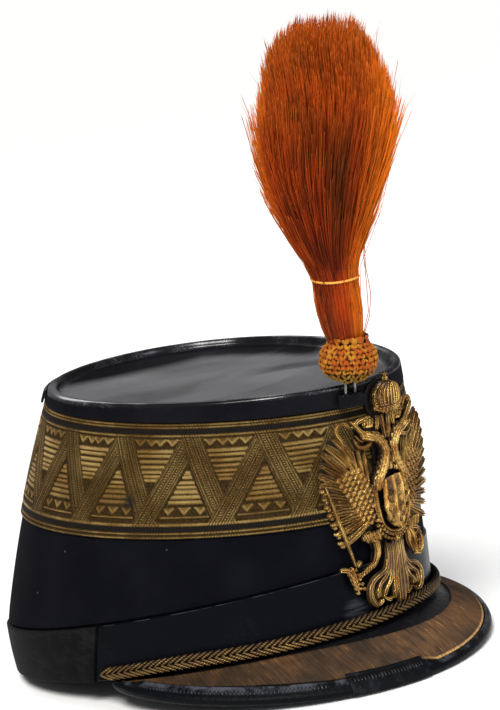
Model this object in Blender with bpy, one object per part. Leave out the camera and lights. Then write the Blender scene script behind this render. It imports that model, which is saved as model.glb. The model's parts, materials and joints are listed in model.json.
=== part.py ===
"""A dress shako: a stiff oval crown that leans forward, a recessed leather top, a gold lace band, a leather
base band, a drooping peak with a braid along its seam, a gilt eagle badge and a horsehair plume.

Metres, +Z up. The hat's front faces -Y and the wearer's right side is -X. Every piece is modelled on the plane
of the hat's base; an empty then tips the whole hat back onto its peak and the rear of its base, as it stands by
itself, with the middle of its footprint at the origin.

Angles go round the crown: 0 at the front, positive towards +X, 180 degrees at the back.
"""
import math

import bmesh
import bpy
from mathutils import Vector

MM = 0.001

# Crown, from the plane of the base to the rim
BASE_LENGTH = 210 * MM
BASE_WIDTH = 186 * MM
TOP_LENGTH = 166 * MM
TOP_WIDTH = 136 * MM
TOP_FORWARD = 38 * MM
FRONT_HEIGHT = 105 * MM
REAR_HEIGHT = 127.4 * MM
NARROWER_FRONT = 0.116
SIDE_BULGE = 3.6 * MM
REAR_TUCK = 9.9 * MM
TUCK_SHARE = 0.2
CLOTH_WALL = 3.0 * MM
UNDER_LEATHER = 1.3 * MM
WALL_STEP = 1.5 * MM
GAP = 0.3 * MM

# Leather top: skirt outside the wall, lip, inner leg and dished disc
SKIRT_FRONT = 9.8 * MM
SKIRT_REAR = 5.6 * MM
LEATHER = 1.2 * MM
RIM_WALL = 1.8 * MM
RIM_ROUND = 1.1 * MM
RECESS = 4.0 * MM
DISC_LEATHER = 1.8 * MM
DISC_DISH = 2.6 * MM
STRIP_HALF_ANGLE = 42
STRIP_THICK = 1.3 * MM
STRIP_TOP = 0.8 * MM
STRIP_DROP = 6.8 * MM

# Bands
LACE_DROP = 58 * MM
LACE_THICK = 1.0 * MM
BAND_FRONT = 27.5 * MM
BAND_REAR = 24.0 * MM
BAND_THICK = 1.8 * MM
BAND_STANDS = 0.8 * MM
BAND_FOOT = 6.0 * MM
BAND_JOINT_ANGLE = 85.5
FOLD_ANGLE = 3.0
FOLD_THICK = 1.6 * MM
FOLD_RUN_OUT = 0.8
FOLD_CLEAR = 8.0
JOINT_OPENING = 0.4
BAND_TURN = 2.0 * MM
BAND_CHAMFER = 1.0 * MM

# Peak, measured from the base edge outwards along its slope
PEAK_LENGTH = 33.5 * MM
PEAK_HALF_ANGLE = 81
PEAK_END_ANGLE = 77
PEAK_POWER = 0.67
PEAK_DROOP_FRONT = 41.5
PEAK_DROOP_SIDE = 15.3
PEAK_THICK = 2.0 * MM
PEAK_ARCH = 1.6 * MM
PEAK_FLANGE = 5.0 * MM
BINDING_WIDTH = 8.0 * MM
BINDING_THICK = 0.9 * MM
BINDING_ROUND = 1.4 * MM
PATCH_FROM = -29
PATCH_TO = -7
PATCH_THICK = 0.7 * MM
PATCH_WIDTH = 8.6 * MM
PATCH_LIP = 0.4 * MM
BULLION_THICK = 0.9 * MM
BARE_WIDTH = 6.4 * MM
BARE_CENTRE = 14
BARE_HALF_ANGLE = 58
BRAID_HALF_ANGLE = 83.5
BRAID_HEIGHT = 7.0 * MM
BRAID_THICK = 4.0 * MM
BULLION_HALF_ANGLE = 70

# Badge: a casting curved about an upright line behind it
BADGE_RADIUS = 78 * MM
BADGE_CLEAR = 2.0 * MM
BADGE_THIN = 2.4 * MM
BADGE_RELIEF = 4.6 * MM
FEATHER_NOTCH = 1.6 * MM

# Plume, on the rim beside the badge
SOCKET_ANGLE = -14.4
SOCKET_DROP = 7.0 * MM
SOCKET_STANDS = 3.7 * MM
SOCKET_HALF = (6.2 * MM, 1.75 * MM)
SLOT_HALF = (4.0 * MM, 0.98 * MM)
SOCKET_HEIGHT = 6.0 * MM
WIRE_RADIUS = 0.65 * MM
WIRE_SPACING = 4.6 * MM
WIRE_LENGTH = 12.0 * MM
BALL_OVER_SOCKET = 17.6 * MM
BALL_RADIUS = 11.7 * MM
BALL_HALF_HEIGHT = 9.4 * MM
BALL_CUT = 6.6 * MM
CUP_TOP = -4.0 * MM
PLUME_LEAN = 12.4
HAIR_DEPTH = 0.9
HAIR_BEND = (-0.69, 0.72, 0)
TIE_HEIGHT = 35.6 * MM
TIE_RADIUS = 9.9 * MM
TIE_THREAD = 0.5 * MM
TIE_BEND = 4.1 * MM

# How it stands
REST_TILT = 5.95
REST_FLAT = 0.4 * MM

# Facets of the crown and of the plume
AROUND = 54
PLUME_FACETS = 18


def oval(angle, half_length, half_width, centre):
    """A point on a long oval that is a little narrower at the front."""
    x = half_width * math.sin(angle) * (1 - NARROWER_FRONT * math.cos(angle))
    y = centre - half_length * math.cos(angle)
    return x, y


def base_edge(angle):
    x, y = oval(angle, BASE_LENGTH / 2, BASE_WIDTH / 2, 0)
    return Vector((x, y, 0))


def rim_edge(angle):
    x, y = oval(angle, TOP_LENGTH / 2, TOP_WIDTH / 2, -TOP_FORWARD)
    share = (y + TOP_FORWARD + TOP_LENGTH / 2) / TOP_LENGTH
    return Vector((x, y, FRONT_HEIGHT + (REAR_HEIGHT - FRONT_HEIGHT) * share))


def outward(angle):
    """Level direction straight out of the wall."""
    edge = base_edge(angle)
    return Vector((edge.x / (BASE_WIDTH / 2) ** 2, edge.y / (BASE_LENGTH / 2) ** 2, 0)).normalized()


def wall_length(angle):
    return (rim_edge(angle) - base_edge(angle)).length


def wall(angle, rise, stand):
    """A point `rise` up the wall from the base edge and `stand` outside the cloth."""
    share = rise / wall_length(angle)
    frontness = (1 + math.cos(angle)) / 2
    bulge = 4 * share * (1 - share) * SIDE_BULGE * (1 - frontness ** 3)
    rearness = (1 - frontness) ** 2
    tuck = REAR_TUCK * rearness * max(0, (TUCK_SHARE - share) / TUCK_SHARE) ** 1.3
    straight = base_edge(angle).lerp(rim_edge(angle), share)
    return straight + outward(angle) * (bulge - tuck + stand)


def below_rim(angle, drop, stand):
    return wall(angle, wall_length(angle) - drop, stand)


def by_frontness(angle, front, rear):
    """A size that changes smoothly from the front of the hat to its back."""
    return (front + rear) / 2 + (front - rear) / 2 * math.cos(angle)


def skirt_depth(angle):
    return by_frontness(angle, SKIRT_FRONT, SKIRT_REAR)


def band_height(angle):
    return by_frontness(angle, BAND_FRONT, BAND_REAR)


def floor_height(y):
    """Height, over the plane of the base, of the surface that the tipped hat stands on."""
    rear = wall(math.pi, 0, BAND_STANDS)
    return REST_FLAT - (rear.y - y) * math.tan(math.radians(REST_TILT))


def on_floor(point):
    """Leather that would reach through the floor is pressed flat on it."""
    return Vector((point.x, point.y, max(point.z, floor_height(point.y))))


def stations(first, last):
    """Angles from first to last: all pieces share the same facets, so that their gaps stay even."""
    step = 360 / AROUND
    inner = [n * step for n in range(math.floor(first / step) + 1, math.ceil(last / step))]
    return [math.radians(degrees) for degrees in [first] + inner + [last]]


def whole_turn(count=AROUND):
    return [2 * math.pi * i / count for i in range(count)]


def ring_of(bm, points):
    verts = [bm.verts.new(point) for point in points]
    for a, b in zip(verts, verts[1:] + verts[:1]):
        bm.edges.new((a, b))
    return verts


def band_between(bm, ring, following):
    """One row of faces between two rings that have the same number of points."""
    for i in range(len(ring)):
        j = (i + 1) % len(ring)
        bm.faces.new((ring[i], ring[j], following[j], following[i]))


def loft(name, sections, closed, material, sharp=40):
    """A solid through closed sections: joined end to end, or with a flat cap on each end."""
    bm = bmesh.new()
    rings = [ring_of(bm, section) for section in sections]
    following = rings[1:] + rings[:1] if closed else rings[1:]
    for ring, after in zip(rings, following):
        band_between(bm, ring, after)
    if not closed:
        bm.faces.new(list(reversed(rings[0])))
        bm.faces.new(rings[-1])
    return finish(name, bm, material, sharp)


def finish(name, bm, material, sharp):
    bmesh.ops.recalc_face_normals(bm, faces=bm.faces)
    mesh = bpy.data.meshes.new(name)
    bm.to_mesh(mesh)
    bm.free()
    mesh.shade_smooth()
    mesh.set_sharp_from_angle(angle=math.radians(sharp))
    mesh.materials.append(material)
    piece = bpy.data.objects.new(name, mesh)
    bpy.context.collection.objects.link(piece)
    return piece


def make_material(name, colour, roughness, metallic=0.0):
    material = bpy.data.materials.new(name)
    material.use_nodes = True
    shader = material.node_tree.nodes["Principled BSDF"]
    shader.inputs["Base Color"].default_value = (*colour, 1)
    shader.inputs["Roughness"].default_value = roughness
    shader.inputs["Metallic"].default_value = metallic
    return material


def crown_body():
    """Cloth-covered tube, thinner under the leather at the foot and inside the rim."""
    def section(angle):
        height = wall_length(angle)
        band = band_height(angle)
        foot = BAND_THICK + GAP
        under_disc = RECESS + DISC_LEATHER + GAP
        outside = [(foot, -UNDER_LEATHER), (band + GAP, -UNDER_LEATHER), (band + WALL_STEP, 0)]
        outside += [(band + (height - under_disc - band) * share, 0) for share in (0.33, 0.67, 1)]
        top = [(height - LEATHER - 2 * GAP, 0), (height - LEATHER - 2 * GAP, -RIM_WALL)]
        inside = [(height - under_disc, -RIM_WALL), (height - under_disc, -CLOTH_WALL)]
        inside += [(height * 0.55, -CLOTH_WALL), (band, -CLOTH_WALL), (foot, -UNDER_LEATHER - CLOTH_WALL)]
        return [wall(angle, rise, stand) for rise, stand in outside + top + inside]
    cloth = make_material("black_cloth", (0.012, 0.013, 0.018), 0.95)
    return loft("crown_body", [section(a) for a in whole_turn()], True, cloth)


def crown_top():
    """Leather lid: its rim folds over the top of the wall, its disc is sunk and slightly dished."""
    skirt_out = GAP + LEATHER
    leg_out = -RIM_WALL - GAP
    leg_in = leg_out - LEATHER
    around = whole_turn()
    edge = [below_rim(a, RECESS, leg_in) for a in around]
    centre = sum(edge, Vector()) / len(edge)
    across = edge[0] - edge[AROUND // 2]
    level = Vector((1, 0, 0)).cross(across).normalized()
    level = level if level.z > 0 else -level

    def disc(share, under):
        dish = DISC_DISH * (1 - share * share)
        return [centre + (point - centre) * share - level * (dish + under) for point in edge]

    def fold(drop, stand):
        return [below_rim(a, drop, stand) for a in around]

    inner_skirt = [below_rim(a, skirt_depth(a), GAP) for a in around]
    outer_skirt = [below_rim(a, skirt_depth(a), skirt_out) for a in around]
    rings = [disc(0.08, DISC_LEATHER), disc(0.7, DISC_LEATHER)]
    rings += [fold(RECESS + DISC_LEATHER, leg_out), fold(LEATHER + GAP, leg_out), fold(LEATHER + GAP, GAP)]
    rings += [inner_skirt, outer_skirt, fold(RIM_ROUND, skirt_out), fold(0, GAP)]
    rings += [fold(0, -RIM_WALL), fold(RIM_ROUND, leg_in), edge]
    rings += [disc(0.7, 0.0), disc(0.08, 0.0)]
    patent = make_material("patent_leather", (0.02, 0.02, 0.024), 0.3)
    return loft("crown_top", rings, False, patent)


def rear_rim_strip():
    inner = 2 * GAP + LEATHER
    outer = inner + STRIP_THICK

    def section(angle):
        corners = [(STRIP_TOP, inner), (STRIP_TOP, outer), (STRIP_DROP, outer), (STRIP_DROP, inner)]
        return [below_rim(angle, drop, stand) for drop, stand in corners]
    leather = make_material("strip_leather", (0.012, 0.014, 0.016), 0.45)
    spread = stations(180 - STRIP_HALF_ANGLE, 180 + STRIP_HALF_ANGLE)
    return loft("rear_rim_strip", [section(a) for a in spread], False, leather)


def lace_band():
    def section(angle):
        top = skirt_depth(angle) + GAP
        rows = [top + (LACE_DROP - top) * share for share in (0, 0.33, 0.67, 1)]
        outside = [below_rim(angle, drop, GAP + LACE_THICK) for drop in rows]
        inside = [below_rim(angle, drop, GAP) for drop in reversed(rows)]
        return outside + inside
    lace = make_material("gold_lace", (0.42, 0.28, 0.09), 0.45, 0.7)
    return loft("lace_band", [section(a) for a in whole_turn()], True, lace)


def band_section(angle, extra):
    """The base leather: up the outside of the wall, and turned in under its edge as a foot."""
    height = band_height(angle)
    inner = BAND_STANDS - BAND_THICK
    outer = BAND_STANDS + extra
    outline = [(height, inner), (height, outer), (height * 0.5, outer), (BAND_TURN, outer)]
    outline += [(0, outer - BAND_CHAMFER), (0, -BAND_FOOT / 3)]
    outline += [(0, -BAND_FOOT), (BAND_THICK, -BAND_FOOT), (BAND_THICK, inner)]
    return [on_floor(wall(angle, rise, stand)) for rise, stand in outline]


def base_band_rear():
    """Goes round the back from temple to temple, thicker where its ends are folded."""
    joint = BAND_JOINT_ANGLE
    fold = [(joint, FOLD_THICK), (joint + FOLD_ANGLE, FOLD_THICK), (joint + FOLD_ANGLE + FOLD_RUN_OUT, 0)]
    start = [band_section(math.radians(degrees), extra) for degrees, extra in fold]
    middle = [band_section(a, 0) for a in stations(joint + FOLD_CLEAR, 360 - joint - FOLD_CLEAR)]
    end = [band_section(math.radians(360 - degrees), extra) for degrees, extra in reversed(fold)]
    leather = make_material("matt_leather", (0.022, 0.02, 0.019), 0.55)
    return loft("base_band_rear", start + middle + end, False, leather)


def base_band_front():
    end = BAND_JOINT_ANGLE - JOINT_OPENING
    leather = make_material("band_patent", (0.012, 0.013, 0.017), 0.22)
    sections = [band_section(a, 0) for a in stations(-end, end)]
    return loft("base_band_front", sections, False, leather)


def peak_frame(angle):
    """The peak's inner edge, its direction outwards down the slope, its normal and its length there."""
    share = min(1, abs(math.degrees(angle)) / PEAK_HALF_ANGLE)
    length = PEAK_LENGTH * (1 - share * share) ** PEAK_POWER
    droop = math.radians(PEAK_DROOP_FRONT + (PEAK_DROOP_SIDE - PEAK_DROOP_FRONT) * share * share)
    away = outward(angle)
    slope = away * math.cos(droop) - Vector((0, 0, math.sin(droop)))
    normal = away * math.sin(droop) + Vector((0, 0, math.cos(droop)))
    return wall(angle, 0, BAND_STANDS) - Vector((0, 0, GAP)), slope, normal, length - BAND_STANDS


def on_peak(angle, distance, height):
    """A point on the peak, `distance` out from the base edge and `height` over its upper face."""
    start, slope, normal, length = peak_frame(angle)
    share = distance / length
    arch = PEAK_ARCH * 4 * share * (1 - share) * length / PEAK_LENGTH
    return start + slope * distance + normal * (arch + height)


def binding_width(angle):
    """Full width but for the ends of the peak, where the binding stays clear of the braid."""
    return min(BINDING_WIDTH, peak_frame(angle)[3] - BRAID_THICK - 2 * GAP)


def peak():
    """Drooping leather peak, whose inner flange is sewn on under the foot of the front band."""
    def section(angle):
        start, _, _, length = peak_frame(angle)
        flange = start - outward(angle) * PEAK_FLANGE
        last = length - BINDING_THICK - 2 * GAP
        rows = [last * share for share in (0, 0.25, 0.5, 0.75, 1)]
        upper = [on_peak(angle, distance, 0) for distance in rows]
        lower = [on_peak(angle, distance, -PEAK_THICK) for distance in reversed(rows)]
        return [flange] + upper + lower + [flange - Vector((0, 0, PEAK_THICK))]
    leather = make_material("peak_leather", (0.012, 0.013, 0.015), 0.3)
    spread = stations(-PEAK_END_ANGLE, PEAK_END_ANGLE)
    return loft("peak", [section(a) for a in spread], False, leather)


def folded_edge(angle):
    """The binding, folded round the peak's edge a gap clear of its two faces."""
    width = binding_width(angle)
    inner = GAP
    outer = GAP + BINDING_THICK
    length = peak_frame(angle)[3]
    low = -PEAK_THICK
    middle = low / 2
    outside = [(length - width, outer), (length - BINDING_ROUND, outer), (length, middle)]
    outside += [(length - BINDING_ROUND / 2, low - outer / 3), (length - BINDING_ROUND, low - outer)]
    outside += [(length - BINDING_ROUND * 1.5, low - outer), (length - width, low - outer)]
    turn = length - BINDING_THICK - GAP
    inside = [(length - width, low - inner), (turn, low - inner), (turn, inner), (length - width, inner)]
    return [on_floor(on_peak(angle, distance, height)) for distance, height in outside + inside]


def peak_binding():
    leather = make_material("binding_leather", (0.014, 0.015, 0.018), 0.35)
    spread = stations(-PEAK_END_ANGLE, PEAK_END_ANGLE)
    return loft("peak_binding", [folded_edge(a) for a in spread], False, leather)


def binding_patch():
    """A second piece of binding laid over the first and stitched through it."""
    inner = 2 * GAP + BINDING_THICK
    outer = inner + PATCH_THICK
    nose = GAP + PATCH_THICK

    def section(angle):
        length = peak_frame(angle)[3]
        rows = [(length - PATCH_WIDTH, outer), (length - BINDING_ROUND + nose, outer)]
        rows += [(length + nose, -PATCH_LIP), (length + GAP, -PATCH_LIP)]
        rows += [(length - BINDING_ROUND + GAP, inner), (length - PATCH_WIDTH, inner)]
        return [on_peak(angle, distance, height) for distance, height in rows]
    leather = make_material("patch_leather", (0.016, 0.017, 0.02), 0.35)
    sections = [section(a) for a in stations(PATCH_FROM, PATCH_TO)]
    return loft("binding_patch", sections, False, leather)


def bare_width(angle):
    """Width of the bare leather between the braid and the bullion, widest near the front."""
    turn = (math.degrees(angle) - BARE_CENTRE) / BARE_HALF_ANGLE
    return BARE_WIDTH * math.cos(turn * math.pi / 2) ** 2 if abs(turn) < 1 else 0


def peak_bullion():
    def section(angle):
        length = peak_frame(angle)[3]
        first = BRAID_THICK + 2 * GAP + bare_width(angle)
        last = length - binding_width(angle) - GAP
        rows = [first + (last - first) * share for share in (0, 0.5, 1)]
        upper = [on_peak(angle, distance, GAP + BULLION_THICK) for distance in rows]
        lower = [on_peak(angle, distance, GAP) for distance in reversed(rows)]
        return upper + lower
    thread = make_material("peak_bullion", (0.2, 0.115, 0.05), 0.5, 0.4)
    spread = stations(-BULLION_HALF_ANGLE, BULLION_HALF_ANGLE)
    return loft("peak_bullion", [section(a) for a in spread], False, thread)


def braid():
    """Flattened cord along the seam, over the foot of the front band."""
    def section(angle):
        rim = []
        for step in range(8):
            turn = 2 * math.pi * step / 8
            rise = BRAID_HEIGHT / 2 * (1 + math.sin(turn)) + GAP
            stand = BAND_STANDS + GAP + BRAID_THICK / 2 * (1 + math.cos(turn))
            rim.append(wall(angle, rise, stand))
        return rim
    cord = make_material("gold_braid", (0.4, 0.27, 0.1), 0.45, 0.6)
    spread = stations(-BRAID_HALF_ANGLE, BRAID_HALF_ANGLE)
    return loft("braid", [section(a) for a in spread], False, cord)


# Half of the badge's outline, from the middle of the crown down to the tail, in millimetres sideways and up
CROWN_AND_HEAD = (
    # sideways, height
    (0.0, 107.0), (1.8, 106.0), (2.0, 103.6), (5.8, 103.2), (8.2, 101.0), (8.8, 97.6), (7.8, 93.0),
    (13.6, 93.2), (14.4, 89.6), (18.8, 91.0), (17.2, 87.2), (19.6, 84.4), (15.4, 83.2), (18.4, 80.2),
    (13.4, 77.6), (10.4, 73.0), (9.2, 66.0), (9.8, 60.0), (12.0, 57.6), (14.2, 62.4), (15.6, 70.0),
    (19.0, 76.0), (21.6, 80.5), (23.0, 84.0),
)
# Tips of the wing's feathers, from the shoulder down
FEATHER_TIPS = (
    # sideways, height
    (26.4, 86.4), (31.0, 83.4), (33.8, 78.4), (35.2, 72.6), (35.6, 66.4), (35.4, 60.0), (34.4, 53.8),
    (32.6, 47.6), (29.8, 41.6),
)
LEG_AND_TAIL = (
    # sideways, height
    (26.0, 35.6), (27.6, 29.6), (25.4, 23.4), (23.8, 16.2), (20.2, 20.4), (16.2, 26.0), (14.6, 24.2),
    (17.6, 20.0), (18.0, 14.0), (14.6, 9.4), (10.0, 9.8), (7.0, 12.4), (5.2, 9.0), (0.0, 8.2),
)
WING_ROOT = (14, 60)
# Openings through the badge: middle, half width, half height
OPENINGS = (
    # sideways, height, half_width, half_height
    (20.2, 34.0, 3.6, 4.4), (8.6, 28.6, 3.0, 5.0),
)
NECK_OPENING = (0.0, 80.2, 2.2, 3.6)


def badge_outline():
    """The right half, with a notch between each two feather tips, and its mirror image."""
    half = list(CROWN_AND_HEAD)
    previous = FEATHER_TIPS[0]
    for tip in FEATHER_TIPS:
        if tip is not previous:
            middle = Vector(previous).lerp(Vector(tip), 0.5)
            inward = (Vector(WING_ROOT) - middle).normalized()
            half.append(tuple(middle + inward * FEATHER_NOTCH / MM))
        half.append(tip)
        previous = tip
    half += LEG_AND_TAIL
    mirrored = [(-x, y) for x, y in reversed(half[1:-1])]
    return half + mirrored


def badge_relief(x, y):
    """Thickness in millimetres at a place on the badge: full over the shield, crown and heads."""
    lumps = (
        # sideways, height, spread across, spread up, share of the full relief
        (0, 52, 9, 15, 1.0), (0, 99, 10, 14, 1.0), (14, 84, 8, 8, 0.9), (-14, 84, 8, 8, 0.9),
        (0, 22, 8, 14, 0.5), (22, 25, 5, 6, 0.35), (-22, 25, 5, 6, 0.35),
        (6, 70, 6, 10, 0.6), (-6, 70, 6, 10, 0.6),
    )
    swell = max(share * math.exp(-((x - u) / a) ** 2 - ((y - v) / b) ** 2) for u, v, a, b, share in lumps)
    return BADGE_THIN + BADGE_RELIEF * swell


def on_badge(x, y, out):
    """Bend the flat badge plane round its upright line; `out` is the stand off the badge's back."""
    foot = wall(0, 0, 0)
    rim = rim_edge(0)
    up = (rim - foot).normalized()
    front = Vector((0, -up.z, up.y))
    turn = x * MM / BADGE_RADIUS
    centre = foot + up * y * MM + front * (BADGE_CLEAR - BADGE_RADIUS)
    return centre + (front * math.cos(turn) + Vector((math.sin(turn), 0, 0))) * (BADGE_RADIUS + out)


def eagle_badge():
    bm = bmesh.new()
    ring_of(bm, [(x, y, 0) for x, y in badge_outline()])
    holes = [(s * x, y, a, b) for x, y, a, b in OPENINGS for s in (1, -1)] + [NECK_OPENING]
    for x, y, half_width, half_height in holes:
        turns = whole_turn(8)
        ring_of(bm, [(x + half_width * math.cos(t), y + half_height * math.sin(t), 0) for t in turns])
    bmesh.ops.triangle_fill(bm, edges=bm.edges, use_beauty=True)
    cuts = [((x, 0, 0), (1, 0, 0)) for x in range(-30, 31, 10)]
    cuts += [((0, y, 0), (0, 1, 0)) for y in range(16, 106, 9)]
    for place, normal in cuts:
        everything = bm.verts[:] + bm.edges[:] + bm.faces[:]
        bmesh.ops.bisect_plane(bm, geom=everything, dist=0.05, plane_co=place, plane_no=normal)
    bmesh.ops.triangulate(bm, faces=bm.faces)
    raised = bmesh.ops.extrude_face_region(bm, geom=bm.faces[:])["geom"]
    front = {item for item in raised if isinstance(item, bmesh.types.BMVert)}
    for vert in bm.verts:
        x, y, _ = vert.co
        vert.co = on_badge(x, y, badge_relief(x, y) if vert in front else 0)
    gilt = make_material("badge_gilt", (0.45, 0.27, 0.08), 0.4, 0.9)
    return finish("eagle_badge", bm, gilt, 50)


def plume_frame():
    """Middle of the socket, the direction along the rim, straight out, and up the plume."""
    angle = math.radians(SOCKET_ANGLE)
    place = below_rim(angle, SOCKET_DROP, SOCKET_STANDS)
    ahead = below_rim(angle + 0.01, SOCKET_DROP, SOCKET_STANDS)
    lean = math.radians(PLUME_LEAN)
    up = Vector((0, -math.sin(lean), math.cos(lean)))
    along = (ahead - place)
    along = (along - up * along.dot(up)).normalized()
    return place, along, along.cross(up), up


def plume_ring(height, half_width, half_depth, shift, count):
    """An oval across the plume, `height` over the ball's middle and bent back by `shift`."""
    place, along, out, up = plume_frame()
    centre = place + up * (BALL_OVER_SOCKET + height) + Vector(HAIR_BEND) * shift
    turns = whole_turn(count)
    return [centre + along * half_width * math.cos(t) + out * half_depth * math.sin(t) for t in turns]


def plume_socket():
    """A leather loop on the rim's skirt with a slot for the plume's wires."""
    place, along, out, up = plume_frame()

    def loop(half, height):
        points = []
        for turn in whole_turn(16):
            x = (half[0] - half[1]) * (1 if math.cos(turn) > 0 else -1) + half[1] * math.cos(turn)
            points.append(place + along * x + out * half[1] * math.sin(turn) + up * height)
        return points
    low, high = -SOCKET_HEIGHT / 2, SOCKET_HEIGHT / 2
    rings = [loop(SLOT_HALF, low), loop(SOCKET_HALF, low), loop(SOCKET_HALF, high), loop(SLOT_HALF, high)]
    leather = make_material("socket_leather", (0.015, 0.015, 0.017), 0.35)
    return loft("plume_socket", rings, True, leather)


def plume_wire(name, side):
    place, along, out, up = plume_frame()
    foot = place + along * side * WIRE_SPACING / 2
    top = BALL_OVER_SOCKET - BALL_HALF_HEIGHT - GAP
    rings = []
    for height in (top - WIRE_LENGTH, top):
        centre = foot + up * height
        turns = whole_turn(8)
        rings.append([centre + (along * math.cos(t) + out * math.sin(t)) * WIRE_RADIUS for t in turns])
    wire = make_material(name + "_iron", (0.05, 0.045, 0.04), 0.5, 0.8)
    return loft(name, rings, False, wire)


def ball_rings(bottom, top, count):
    rings = []
    for i in range(count):
        height = bottom + (top - bottom) * i / (count - 1)
        radius = BALL_RADIUS * math.sqrt(max(0, 1 - (height / BALL_HALF_HEIGHT) ** 2))
        rings.append(plume_ring(height, radius, radius, 0, PLUME_FACETS))
    return rings


def plume_ball():
    orange = make_material("ball_orange", (0.75, 0.25, 0.02), 0.8)
    return loft("plume_ball", ball_rings(CUP_TOP, BALL_CUT, 8), False, orange)


def plume_cup():
    yellow = make_material("cup_yellow", (0.72, 0.4, 0.05), 0.8)
    return loft("plume_cup", ball_rings(-0.99 * BALL_HALF_HEIGHT, CUP_TOP - GAP, 7), False, yellow)


# The bunch of hair, from the ball to its clipped top, in millimetres
HAIR_ROWS = (
    # height over the ball's middle, half width, shift to the rear
    (6.9, 7.4, 0.9), (14, 8.8, 1.9), (23, 9.9, 3.0), (31, 9.3, 3.6), (36, 8.7, 4.1), (41.5, 10.3, 4.8),
    (47, 13.2, 5.6), (55.5, 17.0, 6.2), (64, 20.5, 6.4), (72.5, 23.6, 6.6), (81, 26.2, 6.3), (89, 28.2, 5.6),
    (97, 29.2, 4.7), (109, 28.4, 3.8), (121, 25.2, 4.4), (130, 20.6, 5.4), (137, 15.4, 5.2), (143, 8.4, 3.2),
)


def plume_hair():
    rows = [(height * MM, half * MM, shift * MM) for height, half, shift in HAIR_ROWS]
    rings = []
    for height, half, shift in rows:
        rings.append(plume_ring(height, half, half * HAIR_DEPTH, shift, PLUME_FACETS))
    hair = make_material("orange_hair", (0.6, 0.13, 0.012), 0.6)
    return loft("plume_hair", rings, False, hair)


def plume_tie():
    """Thread wound once round the neck of the hair."""
    sections = []
    up = plume_frame()[3]
    inside = plume_ring(TIE_HEIGHT, TIE_RADIUS, TIE_RADIUS * HAIR_DEPTH, TIE_BEND, PLUME_FACETS)
    centre = sum(inside, Vector()) / len(inside)
    for point in inside:
        away = (point - centre).normalized()
        turns = whole_turn(6)
        sections.append([point + (away * math.cos(t) + up * math.sin(t)) * TIE_THREAD for t in turns])
    thread = make_material("tie_thread", (0.8, 0.4, 0.06), 0.7)
    return loft("plume_tie", sections, True, thread)


def stand_up(pieces):
    """Tip the hat back onto its peak and centre its footprint on the origin."""
    seat = bpy.data.objects.new("seat", None)
    bpy.context.collection.objects.link(seat)
    for piece in pieces:
        piece.parent = seat
    seat.rotation_euler.x = -math.radians(REST_TILT)
    bpy.context.view_layer.update()
    corners = [piece.matrix_world @ vert.co for piece in pieces for vert in piece.data.vertices]
    low = Vector([min(corner[i] for corner in corners) for i in range(3)])
    high = Vector([max(corner[i] for corner in corners) for i in range(3)])
    middle = (low + high) / 2
    seat.location = (-middle.x, -middle.y, -low.z)


for leftover in list(bpy.data.objects):
    bpy.data.objects.remove(leftover)

parts = [
    crown_body(), crown_top(), rear_rim_strip(), lace_band(), base_band_rear(), base_band_front(),
    peak(), peak_binding(), binding_patch(), peak_bullion(), braid(), eagle_badge(),
    plume_socket(), plume_wire("plume_wire_near", -1), plume_wire("plume_wire_far", 1),
    plume_cup(), plume_ball(), plume_hair(), plume_tie(),
]
stand_up(parts)
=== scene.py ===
"""A dress shako: black cloth crown with a sunk leather top, gold lace, a leather base band and peak, a
cord braid, a gilt eagle badge and an orange horsehair plume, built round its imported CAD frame.

The hat is worked out in millimetres on the plane of its base, where its front faces -Y and the wearer's
right side is -X, and is then tipped back as it stands. Angles go round the crown: 0 in front, positive
towards +X.
"""
import json
import math
import random

import bmesh
import bpy
import numpy as np
from mathutils import Matrix, Vector, noise


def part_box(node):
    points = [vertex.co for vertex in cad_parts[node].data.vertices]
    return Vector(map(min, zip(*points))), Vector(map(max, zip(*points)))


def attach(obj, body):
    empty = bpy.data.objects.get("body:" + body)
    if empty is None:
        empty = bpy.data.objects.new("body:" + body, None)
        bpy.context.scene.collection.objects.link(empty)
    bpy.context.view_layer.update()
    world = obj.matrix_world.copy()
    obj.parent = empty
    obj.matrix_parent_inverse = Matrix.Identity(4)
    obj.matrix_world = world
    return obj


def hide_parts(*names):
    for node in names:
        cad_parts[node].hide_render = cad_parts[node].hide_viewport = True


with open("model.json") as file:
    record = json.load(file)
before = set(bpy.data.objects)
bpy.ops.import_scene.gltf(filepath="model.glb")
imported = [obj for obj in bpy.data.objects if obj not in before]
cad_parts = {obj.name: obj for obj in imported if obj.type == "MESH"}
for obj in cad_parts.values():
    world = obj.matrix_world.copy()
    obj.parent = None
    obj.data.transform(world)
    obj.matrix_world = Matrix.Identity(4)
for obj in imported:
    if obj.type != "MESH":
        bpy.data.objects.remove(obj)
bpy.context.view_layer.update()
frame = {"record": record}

# ---------------------------------------------------------------------------------------------------------
# The stiff crown that every other piece is fitted to: an oval at the base, a smaller oval leaning forward
# at the rim, sides a little bulged, the back tucked in at its foot. Tipped back, it stands on its peak and
# the rear of its base leather.
BASE_LENGTH, BASE_WIDTH = 210, 186
TOP_LENGTH, TOP_WIDTH, TOP_FORWARD = 166, 136, 38
FRONT_HEIGHT, REAR_HEIGHT = 105, 127.4
NARROWER_FRONT = 0.116
SIDE_BULGE, REAR_TUCK, TUCK_SHARE = 3.6, 9.9, 0.2
GAP = 0.3
BAND_STANDS = 0.8
PEAK_LENGTH, PEAK_END, PEAK_ARCH = 33.5, 81, 1.6
PEAK_DROOP, LESS_DROOP_AT_END = 41.5, 26.2
# How far back it tips, and how much of the leather is pressed flat where it stands.
REST_TILT, REST_FLAT = 5.95, 0.4


def stacked(*columns):
    """Coordinates given one by one, as an array with a row for each point."""
    return np.stack(np.broadcast_arrays(*columns), axis=-1)


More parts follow.
